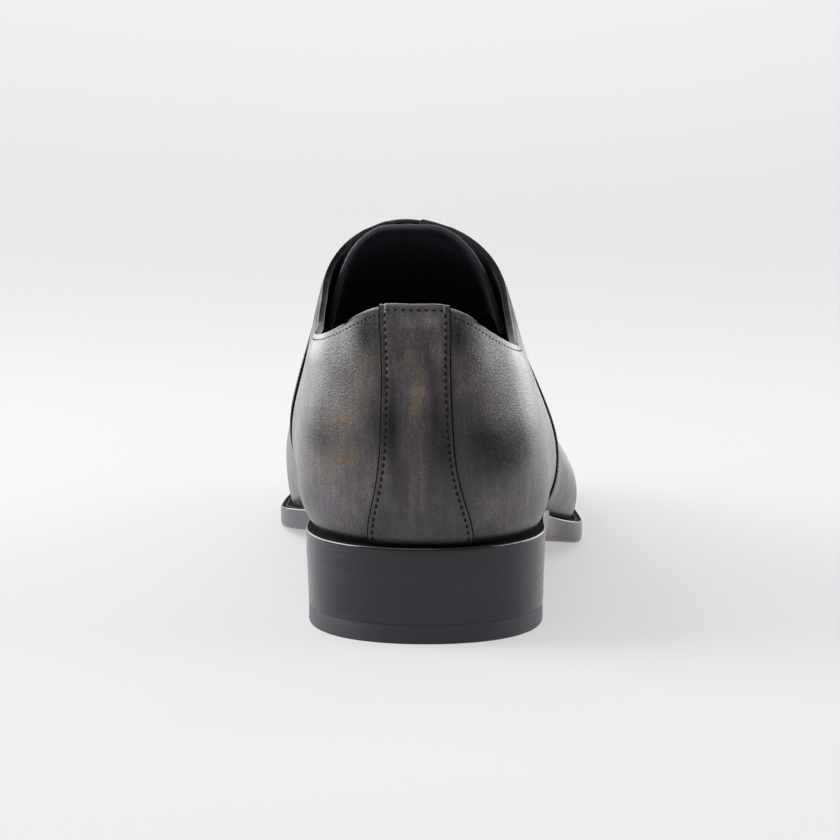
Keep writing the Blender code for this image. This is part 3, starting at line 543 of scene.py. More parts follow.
class Finish:
    """The nodes of a material or of the world: adds nodes, and links or sets their inputs."""

    def __init__(self, owner, shader="Principled BSDF"):
        self.owner = owner
        owner.use_nodes = True
        self.tree = owner.node_tree
        self.shader = self.tree.nodes[shader]
        self.place = self.tree.nodes.new("ShaderNodeTexCoord").outputs

    def set(self, node, inputs):
        for key, value in inputs.items():
            if isinstance(value, bpy.types.NodeSocket):
                self.tree.links.new(value, node.inputs[key])
            else:
                node.inputs[key].default_value = value

    def add(self, kind, inputs=None, **settings):
        node = self.tree.nodes.new(kind)
        for key, value in settings.items():
            setattr(node, key, value)
        self.set(node, inputs or {})
        return node

    def finished(self, inputs):
        self.set(self.shader, inputs)
        return self.owner

    def axis(self, name, space="Object"):
        return self.add("ShaderNodeSeparateXYZ", {"Vector": self.place[space]}).outputs[name]

    def stretched(self, scale):
        return self.add("ShaderNodeMapping", {"Vector": self.place["Object"], "Scale": scale}).outputs[0]

    def noise(self, scale, detail=3.0, roughness=0.5, distortion=0.0, stretch=(1.0, 1.0, 1.0)):
        inputs = {"Vector": self.stretched(stretch), "Scale": scale, "Detail": detail}
        inputs |= {"Roughness": roughness, "Distortion": distortion}
        return self.add("ShaderNodeTexNoise", inputs).outputs[0]

    def cells(self, scale):
        inputs = {"Vector": self.place["Object"], "Scale": scale}
        return self.add("ShaderNodeTexVoronoi", inputs, feature="DISTANCE_TO_EDGE").outputs["Distance"]

    def field(self, name):
        return self.add("ShaderNodeAttribute", attribute_name=name).outputs["Fac"]

    def math(self, operation, *values):
        return self.add("ShaderNodeMath", dict(enumerate(values)), operation=operation).outputs[0]

    def spread(self, value, low, high, to_low, to_high):
        inputs = {"Value": value, "From Min": low, "From Max": high, "To Min": to_low, "To Max": to_high}
        return self.add("ShaderNodeMapRange", inputs).outputs[0]

    def swing(self, noise, to_low, to_high):
        return self.spread(noise, NOISE_LOW, NOISE_HIGH, to_low, to_high)

    def ramp(self, value, stops):
        node = self.add("ShaderNodeValToRGB", {"Fac": value})
        elements = node.color_ramp.elements
        while len(elements) < len(stops):
            elements.new(0.5)
        for element, (place, colour) in zip(elements, stops):
            element.position = place
            element.color = (*colour, 1.0)
        return node.outputs["Color"]

    def shaded(self, noise, dark, light):
        return self.ramp(noise, ((NOISE_LOW, dark), (NOISE_HIGH, light)))

    def mixed(self, amount, first, second, blend="MIX"):
        inputs = {MIX_AMOUNT: amount, MIX_FIRST: first, MIX_SECOND: second}
        return self.add("ShaderNodeMix", inputs, data_type="RGBA", blend_type=blend).outputs[MIX_RESULT]

    def bumped(self, height, distance, under=None, strength=0.5):
        inputs = {"Height": height, "Distance": distance, "Strength": strength}
        if under is not None:
            inputs["Normal"] = under
        return self.add("ShaderNodeBump", inputs).outputs[0]


LEATHER_TONES = (
    (0.00, (0.0037, 0.0032, 0.0042)),
    (0.20, (0.0195, 0.0166, 0.0205)),
    (0.35, (0.039, 0.033, 0.0405)),
    (0.50, (0.072, 0.0615, 0.073)),
    (0.65, (0.130, 0.113, 0.132)),
    (0.80, (0.231, 0.205, 0.236)),
    (1.00, (0.392, 0.354, 0.402)),
)
# The collar's rolled edge is lighter than the upper: partly burnished wear, partly a painted highlight along
# the rim; it grows darker towards the throat
LEATHER_TONE, COLLAR_WEAR_AND_HIGHLIGHT_TONE, THROAT_TONE = 0.37, 0.64, 0.24
TO_THROAT_Y = (-0.128, -0.088)
WARM_TINT = (1.20, 1.0, 0.76, 1.0)
OLIVE_TINT = (1.05, 1.0, 0.58, 1.0)
OLIVE_CLOUD, WARM_CLOUD = table("scale low high most", (24.0, 0.42, 0.62, 0.8), (31.0, 0.48, 0.66, 0.6))

# What noise adds to the leather's tone: mottling, brushed streaks and scuffs
TONE_LAYERS = table(
    "scale detail roughness distortion stretch darkest lightest",
    (55.0, 4.0, 0.55, 0.8, (1.0, 1.0, 1.0), -0.12, 0.11),
    (620.0, 3.0, 0.6, 0.4, (1.0, 1.0, 0.12), -0.08, 0.07),
    (420.0, 4.0, 0.65, 2.5, (1.0, 1.0, 1.0), -0.05, 0.05),
)
CREASE_SCALE, CREASE_DEEP = 1250.0, 0.0002
# Painted shade along the grain's creases, and a little painted light on the flats between them
CREASE_WIDE, CREASE_PAINTED_SHADE, FLAT_PAINTED_LIGHT = 0.25, -0.11, 0.035
PORES, PORE_DEEP = (1600.0, 3.0, 0.6, 1.5), 0.00008
SHINE_SCALE, SHINE_LESS, SHINE_MORE = 160.0, 0.05, 0.06
GLOSS_DARK_TONE, GLOSS_LEAST, FACING_GLOSS = -0.45, 0.30, 0.32
COAT_ROUGH, SPECULAR = 0.22, 0.5


def leather(name, roughness, polish, base_tone, throat_tone=None):
    """Burnished leather: patina spots, mottling and brushed streaks over a fine crinkled grain, with painted
    shade in its creases and above the welt.
    """
    made = Finish(bpy.data.materials.new(name))
    spots, facing, clouds = (made.field(kind) for kind in ("tone", "facing", "clouds"))
    if throat_tone is not None:
        base_tone = made.spread(made.axis("Y"), *TO_THROAT_Y, base_tone, throat_tone)
    tone = made.math("ADD", spots, base_tone)
    # Painted shade: darker over the lowest few millimetres above the welt's ledge, where the upper meets the
    # welt
    tone = made.math("ADD", tone, made.spread(made.field("rise"), GAP_SHADE_FROM, GAP_SHADE_TO, -GAP_SHADE_BY, 0.0))
    tone = made.math("MULTIPLY_ADD", facing, -FACING_DARK, tone)
    drifts = {}
    for field, cloud in (("olive", OLIVE_CLOUD), ("warm", WARM_CLOUD)):
        drift = made.spread(made.noise(cloud.scale), cloud.low, cloud.high, 0.0, cloud.most)
        drifts[field] = made.math("MULTIPLY", clouds, drift)
    tone = made.math("MULTIPLY_ADD", drifts["warm"], -CLOUD_DARK, tone)
    for layer in TONE_LAYERS:
        tone = made.math("ADD", tone, made.swing(made.noise(*layer[:-2]), layer.darkest, layer.lightest))
    # Painted shade in the creases and painted light between them, following the crease bump
    creases = made.cells(CREASE_SCALE)
    tone = made.math("ADD", tone, made.spread(creases, 0.0, CREASE_WIDE, CREASE_PAINTED_SHADE, FLAT_PAINTED_LIGHT))
    colour = made.ramp(tone, LEATHER_TONES)
    for field, tint in (("olive", OLIVE_TINT), ("warm", WARM_TINT)):
        amount = made.math("ADD", made.field(field), drifts[field])
        colour = made.mixed(amount, colour, made.mixed(1.0, colour, tint, "MULTIPLY"))
    shine = made.swing(made.noise(SHINE_SCALE), roughness - SHINE_LESS, roughness + SHINE_MORE)
    gloss = made.spread(spots, GLOSS_DARK_TONE, 0.0, GLOSS_LEAST, 1.0)
    gloss = made.math("MULTIPLY", gloss, made.spread(facing, 0.0, 1.0, 1.0, FACING_GLOSS))
    return made.finished(
        {
            "Base Color": colour,
            "Roughness": made.math("MULTIPLY_ADD", facing, FACING_ROUGH, shine),
            "Normal": made.bumped(made.noise(*PORES), PORE_DEEP, made.bumped(creases, CREASE_DEEP)),
            "Coat Weight": made.math("MULTIPLY", gloss, polish),
            "Coat Roughness": COAT_ROUGH,
            "Specular IOR Level": made.math("MULTIPLY", gloss, SPECULAR),
        }
    )


PLAIN_BLOTCH, PLAIN_SHINE_SCALE, PLAIN_SHINE = (300.0, 4.0, 0.6), 240.0, 0.06
PEBBLES, PEBBLE_DEEP, PLAIN_SPECULAR = 900.0, 0.00006, 0.3
# The black that painted shade fades a leather to
SHADE_BLACK = (0.002, 0.002, 0.003, 1.0)


def plain_leather(name, dark, light, roughness, pebbles=PEBBLES, shade_below=None):
    """One colour that varies a little, with a pebbled grain, and painted shade to black below a height if one
    is given.
    """
    made = Finish(bpy.data.materials.new(name))
    colour = made.shaded(made.noise(*PLAIN_BLOTCH), dark, light)
    # Painted shade: black below the given height, fading into the colour over it
    if shade_below is not None:
        colour = made.mixed(made.spread(made.axis("Z"), *shade_below, 0.0, 1.0), SHADE_BLACK, colour)
    shine = made.swing(made.noise(PLAIN_SHINE_SCALE), roughness - PLAIN_SHINE, roughness + PLAIN_SHINE)
    inputs = {"Base Color": colour, "Roughness": shine, "Specular IOR Level": PLAIN_SPECULAR}
    return made.finished(inputs | {"Normal": made.bumped(made.cells(pebbles), PEBBLE_DEEP)})


BRUSHED, BRUSHED_SHARE, BRUSHED_DEEP = (900.0, 3.0, 0.6, 0.0, (0.03, 0.03, 1.0)), 0.75, 0.00003
BLOTCH_SCALE, EDGE_SHINE_LESS, EDGE_SHINE_MORE = 120.0, 0.05, 0.07


def inked_edge(name, dark, light, roughness):
    """Trimmed sole leather, inked and burnished, with level brush lines."""
    made = Finish(bpy.data.materials.new(name))
    lines = made.noise(*BRUSHED)
    blotch = made.math("MULTIPLY", made.noise(BLOTCH_SCALE), 1 - BRUSHED_SHARE)
    colour = made.shaded(made.math("MULTIPLY_ADD", lines, BRUSHED_SHARE, blotch), dark, light)
    shine = made.swing(lines, roughness - EDGE_SHINE_LESS, roughness + EDGE_SHINE_MORE)
    normal = made.bumped(lines, BRUSHED_DEEP)
    return made.finished({"Base Color": colour, "Roughness": shine, "Normal": normal})


# Matt finishes: ink that has soaked into a cut edge, and a tight twist of waxed thread
INK, TWIST = table(
    "scale detail uneven low high deep strength roughness specular",
    (700.0, 3.0, 0.6, NOISE_LOW, NOISE_HIGH, 0.00004, 0.5, 0.9, 0.04),
    (2600.0, 2.0, 0.5, 0.35, 0.65, 0.00006, 0.6, 0.7, 0.2),
)


def matt(name, kind, dark, light):
    """Soaked ink or waxed thread, which catch little light."""
    made = Finish(bpy.data.materials.new(name))
    noise = made.noise(kind.scale, kind.detail, kind.uneven)
    colour = made.ramp(noise, ((kind.low, dark), (kind.high, light)))
    normal = made.bumped(noise, kind.deep, strength=kind.strength)
    inputs = {"Roughness": kind.roughness, "Specular IOR Level": kind.specular}
    return made.finished(inputs | {"Base Color": colour, "Normal": normal})


PAPER_SCALE, PAPER_SHADE, PAPER_GLOW = 3.0, 0.985, (1.0, 1.0, 1.01, 1.0)


def paper(name, colour, glow):
    """The studio floor and backdrop: matt, a little uneven, lit through from below like a light table."""
    made = Finish(bpy.data.materials.new(name))
    shade = tuple(PAPER_SHADE * part for part in colour)
    inputs = {"Roughness": 1.0, "Specular IOR Level": 0.0}
    inputs |= {"Emission Color": PAPER_GLOW, "Emission Strength": glow}
    return made.finished(inputs | {"Base Color": made.shaded(made.noise(PAPER_SCALE), shade, colour)})


UPPER_LEATHER = leather("upper_leather", 0.37, 0.20, LEATHER_TONE)
CAP_LEATHER = leather("cap_leather", 0.30, 0.45, LEATHER_TONE)
# Matt rolled collar edge, its lighter tone partly burnished wear and partly a painted highlight
COLLAR_EDGE = leather("collar_edge", 0.55, 0.0, COLLAR_WEAR_AND_HIGHLIGHT_TONE, THROAT_TONE)
CUT_EDGE = matt("cut_edge", INK, (0.001, 0.001, 0.0015), (0.003, 0.003, 0.004))
# The welt's top ledge: edge ink, made blacker and more matt than the side as painted shade in the recess under
# the upper
LEDGE_INK_AND_SHADE = matt("ledge_ink_and_shade", INK, (0.0015, 0.0015, 0.002), (0.004, 0.004, 0.005))
LINING = plain_leather("lining_leather", (0.036, 0.034, 0.045), (0.056, 0.053, 0.068), 0.5)
# The tongue turns black down its lower front part: painted shade under the facings and lace
TONGUE_LEATHER = plain_leather(
    "tongue_grain", (0.020, 0.019, 0.026), (0.036, 0.034, 0.044), 0.6, shade_below=(0.084, 0.104)
)
SOCK = plain_leather("sock", (0.030, 0.026, 0.050), (0.050, 0.044, 0.080), 0.6)
THREAD = matt("stitch_thread", TWIST, (0.001, 0.001, 0.0015), (0.003, 0.003, 0.004))
CORD = matt("lace_cord", TWIST, (0.004, 0.004, 0.005), (0.014, 0.014, 0.016))
EDGE_INK = inked_edge("edge_ink", (0.0045, 0.0042, 0.009), (0.0105, 0.010, 0.0165), 0.24)
GLOSS_INK = inked_edge("gloss_ink", (0.003, 0.003, 0.004), (0.007, 0.007, 0.009), 0.16)
RUSSET = plain_leather("russet_sole", (0.085, 0.022, 0.016), (0.150, 0.040, 0.028), 0.36, 500.0)
RUBBER = inked_edge("tip_rubber", (0.011, 0.0105, 0.017), (0.018, 0.0172, 0.026), 0.46)
PAPER = paper("backdrop_paper", (0.155, 0.155, 0.158), 0.465)


# Meshes
def placed(points):
    return (np.reshape(points, (-1, 3)) - CENTRE) * MM


def shown(name, data):
    """A new object in the scene."""
    thing = bpy.data.objects.new(name, data)
    bpy.context.scene.collection.objects.link(thing)
    return thing


def squares(grid):
    """Faces between neighbours in a grid of point numbers."""
    corners = (grid[:-1, :-1], grid[1:, :-1], grid[1:, 1:], grid[:-1, 1:])
    return np.stack(corners, axis=-1).reshape(-1, 4).tolist()


def ring(centre, across, over, sides):
    """Points round an oval, from its half axes."""
    angles = 2 * math.pi * np.arange(sides)[:, None] / sides
    return centre + np.cos(angles) * across + np.sin(angles) * over


def tube_faces(first, rings, sides):
    """Faces of a tube with closed ends, its rings of points numbered from the first on."""
    grid = first + np.arange(rings * sides).reshape(rings, sides)
    return squares(np.column_stack((grid, grid[:, 0]))) + [grid[0].tolist(), grid[-1].tolist()]


def drop_idle_corners(made):
    """Takes out corners where only two edges meet, as they leave slivers when faces are split."""
    idle = [corner for corner in made.verts if len(corner.link_edges) == 2]
    bmesh.ops.dissolve_verts(made, verts=idle)


def piece(name, points, faces, finishes, slots=None, weld=False, stands_for=(), slot=None):
    """A piece of the shoe from points on the last, riding on the frame."""
    made = bmesh.new()
    corners = [made.verts.new(point) for point in placed(points)]
    for number, face in enumerate(faces):
        polygon = made.faces.new([corners[i] for i in face])
        polygon.smooth = True
        polygon.material_index = 0 if slots is None else slots[number]
    if weld:
        bmesh.ops.remove_doubles(made, verts=made.verts, dist=SAME_POINT)
        loose = [corner for corner in made.verts if not corner.link_faces]
        bmesh.ops.delete(made, geom=loose, context="VERTS")
        open_edges = [edge for edge in made.edges if edge.is_boundary]
        for face in bmesh.ops.holes_fill(made, edges=open_edges, sides=0)["faces"]:
            face.smooth = True
            face.material_index = len(finishes) - 1
        drop_idle_corners(made)
    bmesh.ops.recalc_face_normals(made, faces=made.faces)
    mesh = bpy.data.meshes.new(name)
    made.to_mesh(mesh)
    made.free()
    mesh.set_sharp_from_angle(angle=math.radians(SHARP_DEG))
    for finish in finishes:
        mesh.materials.append(finish)
    thing = shown(name, mesh)
    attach(thing, "root")
    for node in stands_for:
        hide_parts(node)
    return thing


def paint(thing):
    """Writes the patina at each vertex of a leather piece."""
    count = len(thing.data.vertices)
    flat = np.empty(3 * count)
    thing.data.vertices.foreach_get("co", flat)
    for name, values in patina(flat.reshape(-1, 3) / MM + CENTRE).items():
        field = thing.data.attributes.new(name, "FLOAT", "POINT")
        field.data.foreach_set("value", values.astype(np.float32))


OUTSIDE, INSIDE, RIM = 0, 1, 2


def panel(name, outer, inner, finishes, bulge=1.0, rolled=False, skived=0, closed=False, **options):
    """A sheet between two grids of points, [column, row], with a rounded rim.

    A rolled panel has its top rim in the outer finish, and a skived one the first steps of all its rim.
    """
    columns, rows = outer.shape[:2]
    middle = (outer + inner) / 2
    out = np.zeros_like(middle)
    out[:, 0] += unit(middle[:, 0] - middle[:, 1])
    out[:, -1] += unit(middle[:, -1] - middle[:, -2])
    out[0] += unit(middle[0] - middle[1])
    out[-1] += unit(middle[-1] - middle[-2])
    out = unit(out)
    loop = [(c, 0) for c in range(columns)]
    loop += [(columns - 1, r) for r in range(1, rows)]
    loop += [(c, rows - 1) for c in range(columns - 2, -1, -1)]
    loop += [(0, r) for r in range(rows - 2, 0, -1)]
    index = tuple(np.array(loop).T)
    half = (outer[index] - inner[index]) / 2
    reach = bulge * np.linalg.norm(half, axis=-1, keepdims=True)
    size = columns * rows
    grid = np.arange(size).reshape(columns, rows)
    points = [outer.reshape(-1, 3), inner.reshape(-1, 3)]
    rings = [grid[index]]
    for k in range(1, RIM_STEPS):
        angle = math.pi * k / RIM_STEPS
        rings.append(2 * size + (k - 1) * len(loop) + np.arange(len(loop)))
        points.append(middle[index] + half * math.cos(angle) + out[index] * reach * math.sin(angle))
    rings.append(size + rings[0])

    faces = squares(grid) + [face[::-1] for face in squares(size + grid)]
    slots = np.repeat((OUTSIDE, INSIDE), len(faces) // 2).tolist()
    for number, face in enumerate(squares(np.pad(rings, ((0, 0), (0, 1)), mode="wrap"))):
        step, i = divmod(number, len(loop))
        ends = loop[i], loop[(i + 1) % len(loop)]
        if closed and all(column == columns - 1 for column, _ in ends):
            continue
        at_top = all(row == rows - 1 for _, row in ends)
        faces.append(face)
        slots.append(OUTSIDE if step < skived or rolled and at_top else RIM)
    return piece(name, np.concatenate(points), faces, finishes, slots, **options)


def make_quarters():
    """Both quarters and the wall behind the backstay in one sheet, with a rolled collar and facings."""
    rows = WALL_ROWS
    cells = (QUARTER_CELLS, FACING_CELLS, TUCK_CELLS)
    halves = []
    for side in (-1, 1):
        seam = line_at("seam", side, rows)
        lines = (np.zeros_like(rows), line_at("corner", side, rows), seam, seam + TUCK)
        halves.append(side * between(lines, cells))
    around = np.concatenate((halves[0][:0:-1], halves[1]))
    up = up_the_wall(around, rows)
    thick = WALL - COLLAR_THIN * smooth((rows - COLLAR_THIN_FROM) / (1 - COLLAR_THIN_FROM))
    up[:, -1] = shifted(around[:, -1], up[:, -1], higher=-thick[-1] / 2)[1]
    roll = collar_roll(around, up)
    outer = skin(around, up, roll)
    inner = skin(around, up, roll - thick)
    finishes = (UPPER_LEATHER, LINING, COLLAR_EDGE)
    quarters = panel("quarters", outer, inner, finishes, stands_for=("upper",), slot="burnished_leather")
    punch_eyelets(quarters)
    paint(quarters)


def punch_eyelets(thing):
    """Cuts the lace holes along the wall's own normal."""
    rings, faces = [], []
    for y in eyelet_ys():
        for half in (-EYELET_HALF, EYELET_HALF):
            ends = [beside_ridge(y, half, raised) for raised in (-WALL - PUNCH_PAST, PUNCH_PAST)]
            axis = unit(ends[1] - ends[0])
            across = unit(np.cross(axis, FORWARD))
            axes = EYELET_RADIUS * across, EYELET_RADIUS * np.cross(axis, across)
            faces += tube_faces(EYELET_SIDES * len(rings), len(ends), EYELET_SIDES)
            rings += [ring(end, *axes, EYELET_SIDES) for end in ends]
    cutter = piece("eyelet_punch", np.concatenate(rings), faces, (CUT_EDGE,))
    cut = thing.modifiers.new("eyelets", "BOOLEAN")
    cut.operation = "DIFFERENCE"
    cut.solver = "MANIFOLD"
    cut.object = cutter
    bpy.context.view_layer.update()
    evaluated = thing.evaluated_get(bpy.context.evaluated_depsgraph_get())
    mesh = bpy.data.meshes.new_from_object(evaluated)
    made = bmesh.new()
    made.from_mesh(mesh)
    drop_idle_corners(made)
    made.to_mesh(mesh)
    made.free()
    thing.modifiers.remove(cut)
    thing.data = mesh
    bpy.data.objects.remove(cutter)


def over_the_foot(lines, cells, raised, laid_on):
    """Outer and inner grids of a panel over the foot, between a pair of lines for each side."""
    inner_side, outer_side = (side * between(pair, (cells,)) for side, pair in zip((-1, 1), lines))
    around = np.concatenate((inner_side, outer_side[:, -2::-1]), axis=1)
    up = up_the_wall(around, np.concatenate((WALL_ROWS, WALL_ROWS[-2::-1])))
    under = np.where(np.arange(cells + 1) <= TUCK_CELLS, laid_on, -WALL)[:, None]
    return skin(around, up, raised), skin(around, up, under)


def make_vamp():
    """The vamp, laid over the quarters' front edges."""
    lines = [(line_at("seam", side, WALL_ROWS), cap_line(side, WALL_ROWS) + TUCK) for side in (-1, 1)]
    grids = over_the_foot(lines, VAMP_CELLS, VAMP_RAISED, LAID_ON)
    finishes = (UPPER_LEATHER, LINING, CUT_EDGE)
    vamp = panel("vamp", *grids, finishes, PANEL_BULGE, skived=SKIVED_STEPS, slot="burnished_leather")
    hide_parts("upper")
    paint(vamp)


def make_toe_cap():
    """The cap, laid over the vamp's front edge and closed round the toe."""
    lines = [(cap_line(side, WALL_ROWS), np.full_like(WALL_ROWS, TIP)) for side in (-1, 1)]
    grids = over_the_foot(lines, CAP_CELLS, CAP_RAISED, VAMP_RAISED + LAID_ON)
    finishes = (CAP_LEATHER, LINING, CUT_EDGE)
    options = {"closed": True, "weld": True, "stands_for": ("toe_cap",), "slot": "toe_leather"}
    paint(panel("cap", *grids, finishes, PANEL_BULGE, skived=SKIVED_STEPS, **options))


def make_backstay():
    """The strip over the back seam, with a channel for its stitches and its top rolled over the collar."""
    rows = WALL_ROWS
    lines = (-line_at("backstay", -1, rows), line_at("backstay", 1, rows))
    around = between(lines, (BACKSTAY_CELLS,))
    up = up_the_wall(around, rows)
    inset = np.minimum(around - lines[0], lines[1] - around)
    channel = CHANNEL * np.exp(-(((inset - STRIP_ROW) / CHANNEL_HALF) ** 2))
    outer = skin(around, up, STRIP_RAISED - channel)
    inner = skin(around, up, LAID_ON)
    finishes = (UPPER_LEATHER, LINING, CUT_EDGE)
    options = {"rolled": True, "stands_for": ("backstay",), "slot": "backstay_leather"}
    paint(panel("back_strip", outer, inner, finishes, STRIP_BULGE, **options))


def make_tongue():
    """A curved sheet under the facings that rises at its front end to the vamp it is sewn to."""
    y = np.linspace(TONGUE_BACK_Y, TONGUE_FRONT_Y, TONGUE_CELLS + 1)[:, None]
    share = np.linspace(-1.0, 1.0, TONGUE_ACROSS + 1)[None, :]
    forward = (y - TONGUE_BACK_Y) / (TONGUE_FRONT_Y - TONGUE_BACK_Y)
    half = (TONGUE_BACK_HALF + (TONGUE_FRONT_HALF - TONGUE_BACK_HALF) * forward) * share
    lift = TONGUE_SIDE_LIFT * smooth((np.abs(half) - TONGUE_SIDE_FROM) / TONGUE_SIDE_RUN)
    lip = smooth((np.abs(half) - LIP_FROM) / LIP_RUN) * (1 - smooth((np.abs(half) - LIP_UNTIL) / LIP_FADE))
    lip = LIP * lip * (1 - smooth((y - LIP_END_Y) / LIP_END_RUN))
    free = TONGUE_DEPTH + lift + lip
    depth = free + (TONGUE_TOP_RAISED - free) * smooth((y - TONGUE_RISES_Y) / TONGUE_RISE_RUN)
    outer = beside_ridge(y, half, depth)
    inner = beside_ridge(y, half, depth - TONGUE_THICK)
    finishes = (TONGUE_LEATHER, LINING, TONGUE_LEATHER)
    options = {"stands_for": ("tongue",), "slot": "tongue_leather"}
    panel("tongue_flap", outer, inner, finishes, TONGUE_BULGE, **options)


def eyelet_ys():
    return [EYELET_FIRST_Y + EYELET_STEP_Y * row for row in range(EYELET_ROWS)]


def lace_route():
    """Over each bar, down its eyelet, along under the facing, up the next, and back inside to the top."""
    corner = LACE_BEND * (1 - math.sqrt(0.5))
    climb = (
        (EYELET_HALF, LACE_UNDER + LACE_BEND),
        (EYELET_HALF, LACE_OVER - LACE_BEND),
        (EYELET_HALF - corner, LACE_OVER - corner),
        (EYELET_HALF - LACE_BEND, LACE_OVER),
        (LACE_SHOULDER, LACE_OVER),
    )
    rows = eyelet_ys()
    route = []
    side = 1.0
    for row, y in enumerate(rows):
        end = side * EYELET_HALF
        route.append((y - corner * (row > 0), -end, LACE_UNDER + corner))
        route += [(y, -side * half, raised) for half, raised in climb]
        route.append((y, 0.0, LACE_OVER))
        route += [(y, side * half, raised) for half, raised in reversed(climb)]
        if row + 1 < len(rows):
            route += [
                (y + corner, end, LACE_UNDER + corner),
                (y + LACE_BEND, end, LACE_UNDER),
                (y + EYELET_STEP_Y / 2, end, LACE_UNDER),
                (y + EYELET_STEP_Y - LACE_BEND, end, LACE_UNDER),
            ]
            side = -side
    last = rows[-1]
    route += [
        (last, side * (EYELET_HALF - corner), LACE_UNDER + corner),
        (last, side * (EYELET_HALF - LACE_BEND), LACE_UNDER),
        (last - HIDDEN_TURN, side * HIDDEN_RUN_HALF, LACE_UNDER),
    ]
    route += [(y, side * HIDDEN_RUN_HALF, LACE_UNDER) for y in reversed(rows[:-1])]
    return np.array([beside_ridge(*stop) for stop in route])


def eased_path(stops, steps):
    """A rounded path through the stops."""
    padded = np.concatenate((2 * stops[:1] - stops[1:2], stops, 2 * stops[-1:] - stops[-2:-1]))
    points = []
    for before, start, end, after in zip(padded, padded[1:], padded[2:], padded[3:]):
        for s in np.arange(steps) / steps:
            points.append(cubic(s, start, end, (end - before) / 2, (after - start) / 2))
    points.append(stops[-1])
    return np.array(points)


def tube(path, radius, sides):
    """Points and faces of a round cord along a path, with closed ends."""
    tangents = unit(np.gradient(path, axis=0))
    across = np.cross(tangents[0], LACE_SEAM)
    rings = []
    for point, tangent in zip(path, tangents):
        across = unit(across - tangent * np.dot(across, tangent))
        rings.append(ring(point, radius * across, radius * np.cross(tangent, across), sides))
    return np.concatenate(rings), tube_faces(0, len(path), sides)


def make_lace():
    """One round waxed cord in bars across the throat."""
    points, faces = tube(eased_path(lace_route(), LACE_STEPS), LACE_RADIUS, LACE_SIDES)
    piece("lace_bars", points, faces, (CORD,), stands_for=("lace",), slot="waxed_cord")


# Stitches: how far apart, how long, half as wide, half as high, and how proud of the leather they lie
STRIP_SEAM, COLLAR_SEAM, PANEL_SEAM, WELT_SEAM = table(
    "pitch long half_wide half_high proud",
    (1.95, 1.25, 0.34, 0.20, -0.02),
    (1.35, 0.95, 0.22, 0.12, 0.02),
    (1.6, 1.15, 0.22, 0.12, 0.02),
    (3.0, 2.4, 0.45, 0.25, 0.08),
)
STITCH_RINGS, STITCH_SIDES = 7, 8
STITCH_DIP, STITCH_TAPER = 0.16, 0.85
STRIP_ROW, STRIP_TOP_ROW = 1.15, 1.35
COLLAR_ROW, CORNER_CLEAR, BASE_CLEAR = 2.4, (118.0, 131.0), 6.0
SEAM_ROWS = (1.5, 3.0)
WELT_ROW, WELT_ROW_FROM = 2.3, 122.0
ROW_FROM, ROW_STOPS, LONG_ROW_STOPS = 0.02, 240, 960


def along_line(values, run, places):
    return np.stack([np.interp(places, run, values[:, k]) for k in range(3)], axis=-1)


def stitches(name, rows, seam):
    """Rows of short stitches, each row a line of points with the surface's normals there."""
    rings, faces = [], []
    along = np.linspace(-1.0, 1.0, STITCH_RINGS)
    wide = np.sqrt(1 - STITCH_TAPER * along**4)
    for line, normals in rows:
        run = np.concatenate(([0.0], np.cumsum(np.linalg.norm(np.diff(line, axis=0), axis=1))))
        count = max(int(run[-1] / seam.pitch), 1)
        places = (np.arange(count) + 0.5) * run[-1] / count
        middle = along_line(line, run, places)
        normal = unit(along_line(normals, run, places))
        reach = seam.long / 4
        ahead = unit(along_line(line, run, places + reach) - along_line(line, run, places - reach))
        across = np.cross(normal, ahead)
        for centre, up, tangent, side in zip(middle, normal, ahead, across):
            faces += tube_faces(STITCH_SIDES * len(rings), STITCH_RINGS, STITCH_SIDES)
            for s, w in zip(along, wide):
                spine = centre + tangent * s * seam.long / 2 + up * (seam.proud - STITCH_DIP * s * s)
                rings.append(ring(spine, w * seam.half_wide * side, w * seam.half_high * up, STITCH_SIDES))
    piece(name, np.concatenate(rings), faces, (THREAD,))


def row_on_skin(around, up, raised):
    """A stitch row's points and normals on the upper."""
    return skin(around, up, raised), directions(around, up)[2]


def make_strip_stitches():
    """Down both sides of the backstay and across its top."""
    rows, ends = [], []
    shares = np.linspace(ROW_FROM, 1.0, ROW_STOPS)
    for side in (-1, 1):
        edge = side * line_at("backstay", side, shares)
        around, up = shifted(edge, up_the_wall(edge, shares), forward=-STRIP_ROW)
        keep = up < shifted(around, up, higher=-STRIP_TOP_ROW)[1][-1]
        rows.append(row_on_skin(around[keep], up[keep], STRIP_RAISED))
        ends.append(around[keep][-1])
    around = np.linspace(*ends, ROW_STOPS)
    up = shifted(around, top_edge(around), higher=-STRIP_TOP_ROW)[1]
    rows.append(row_on_skin(around, up, STRIP_RAISED))
    stitches("strip_stitches", rows, STRIP_SEAM)


def make_collar_stitches():
    """Under the collar and down the facings, clear of the corner between them."""
    rows = []
    for side in (-1, 1):
        start = line_at("backstay", side, np.array((1.0,)))[0]
        around = side * np.linspace(start, THROAT_BASE - BASE_CLEAR, LONG_ROW_STOPS)
        place = np.abs(around)
        collar_z = COLLAR_OUT_Z if side > 0 else COLLAR_IN_Z
        slope = np.gradient(collar_z(np.minimum(place, COLLAR[-1].around)), place)
        collar = shifted(around, top_edge(around), higher=-COLLAR_ROW * np.sqrt(1 + slope**2))[1]
        facing = up_at_turn(turn_at_half(around, FACING_GAP))
        facing = shifted(around, facing, higher=-COLLAR_ROW)[1]
        up = np.where(place < WAIST / 2, collar, np.minimum(collar, facing))
        for part in (place < CORNER_CLEAR[0], place > CORNER_CLEAR[1]):
            roll = collar_roll(around[part], up[part])
            rows.append(row_on_skin(around[part], up[part], roll))
    stitches("collar_stitches", rows, COLLAR_SEAM)


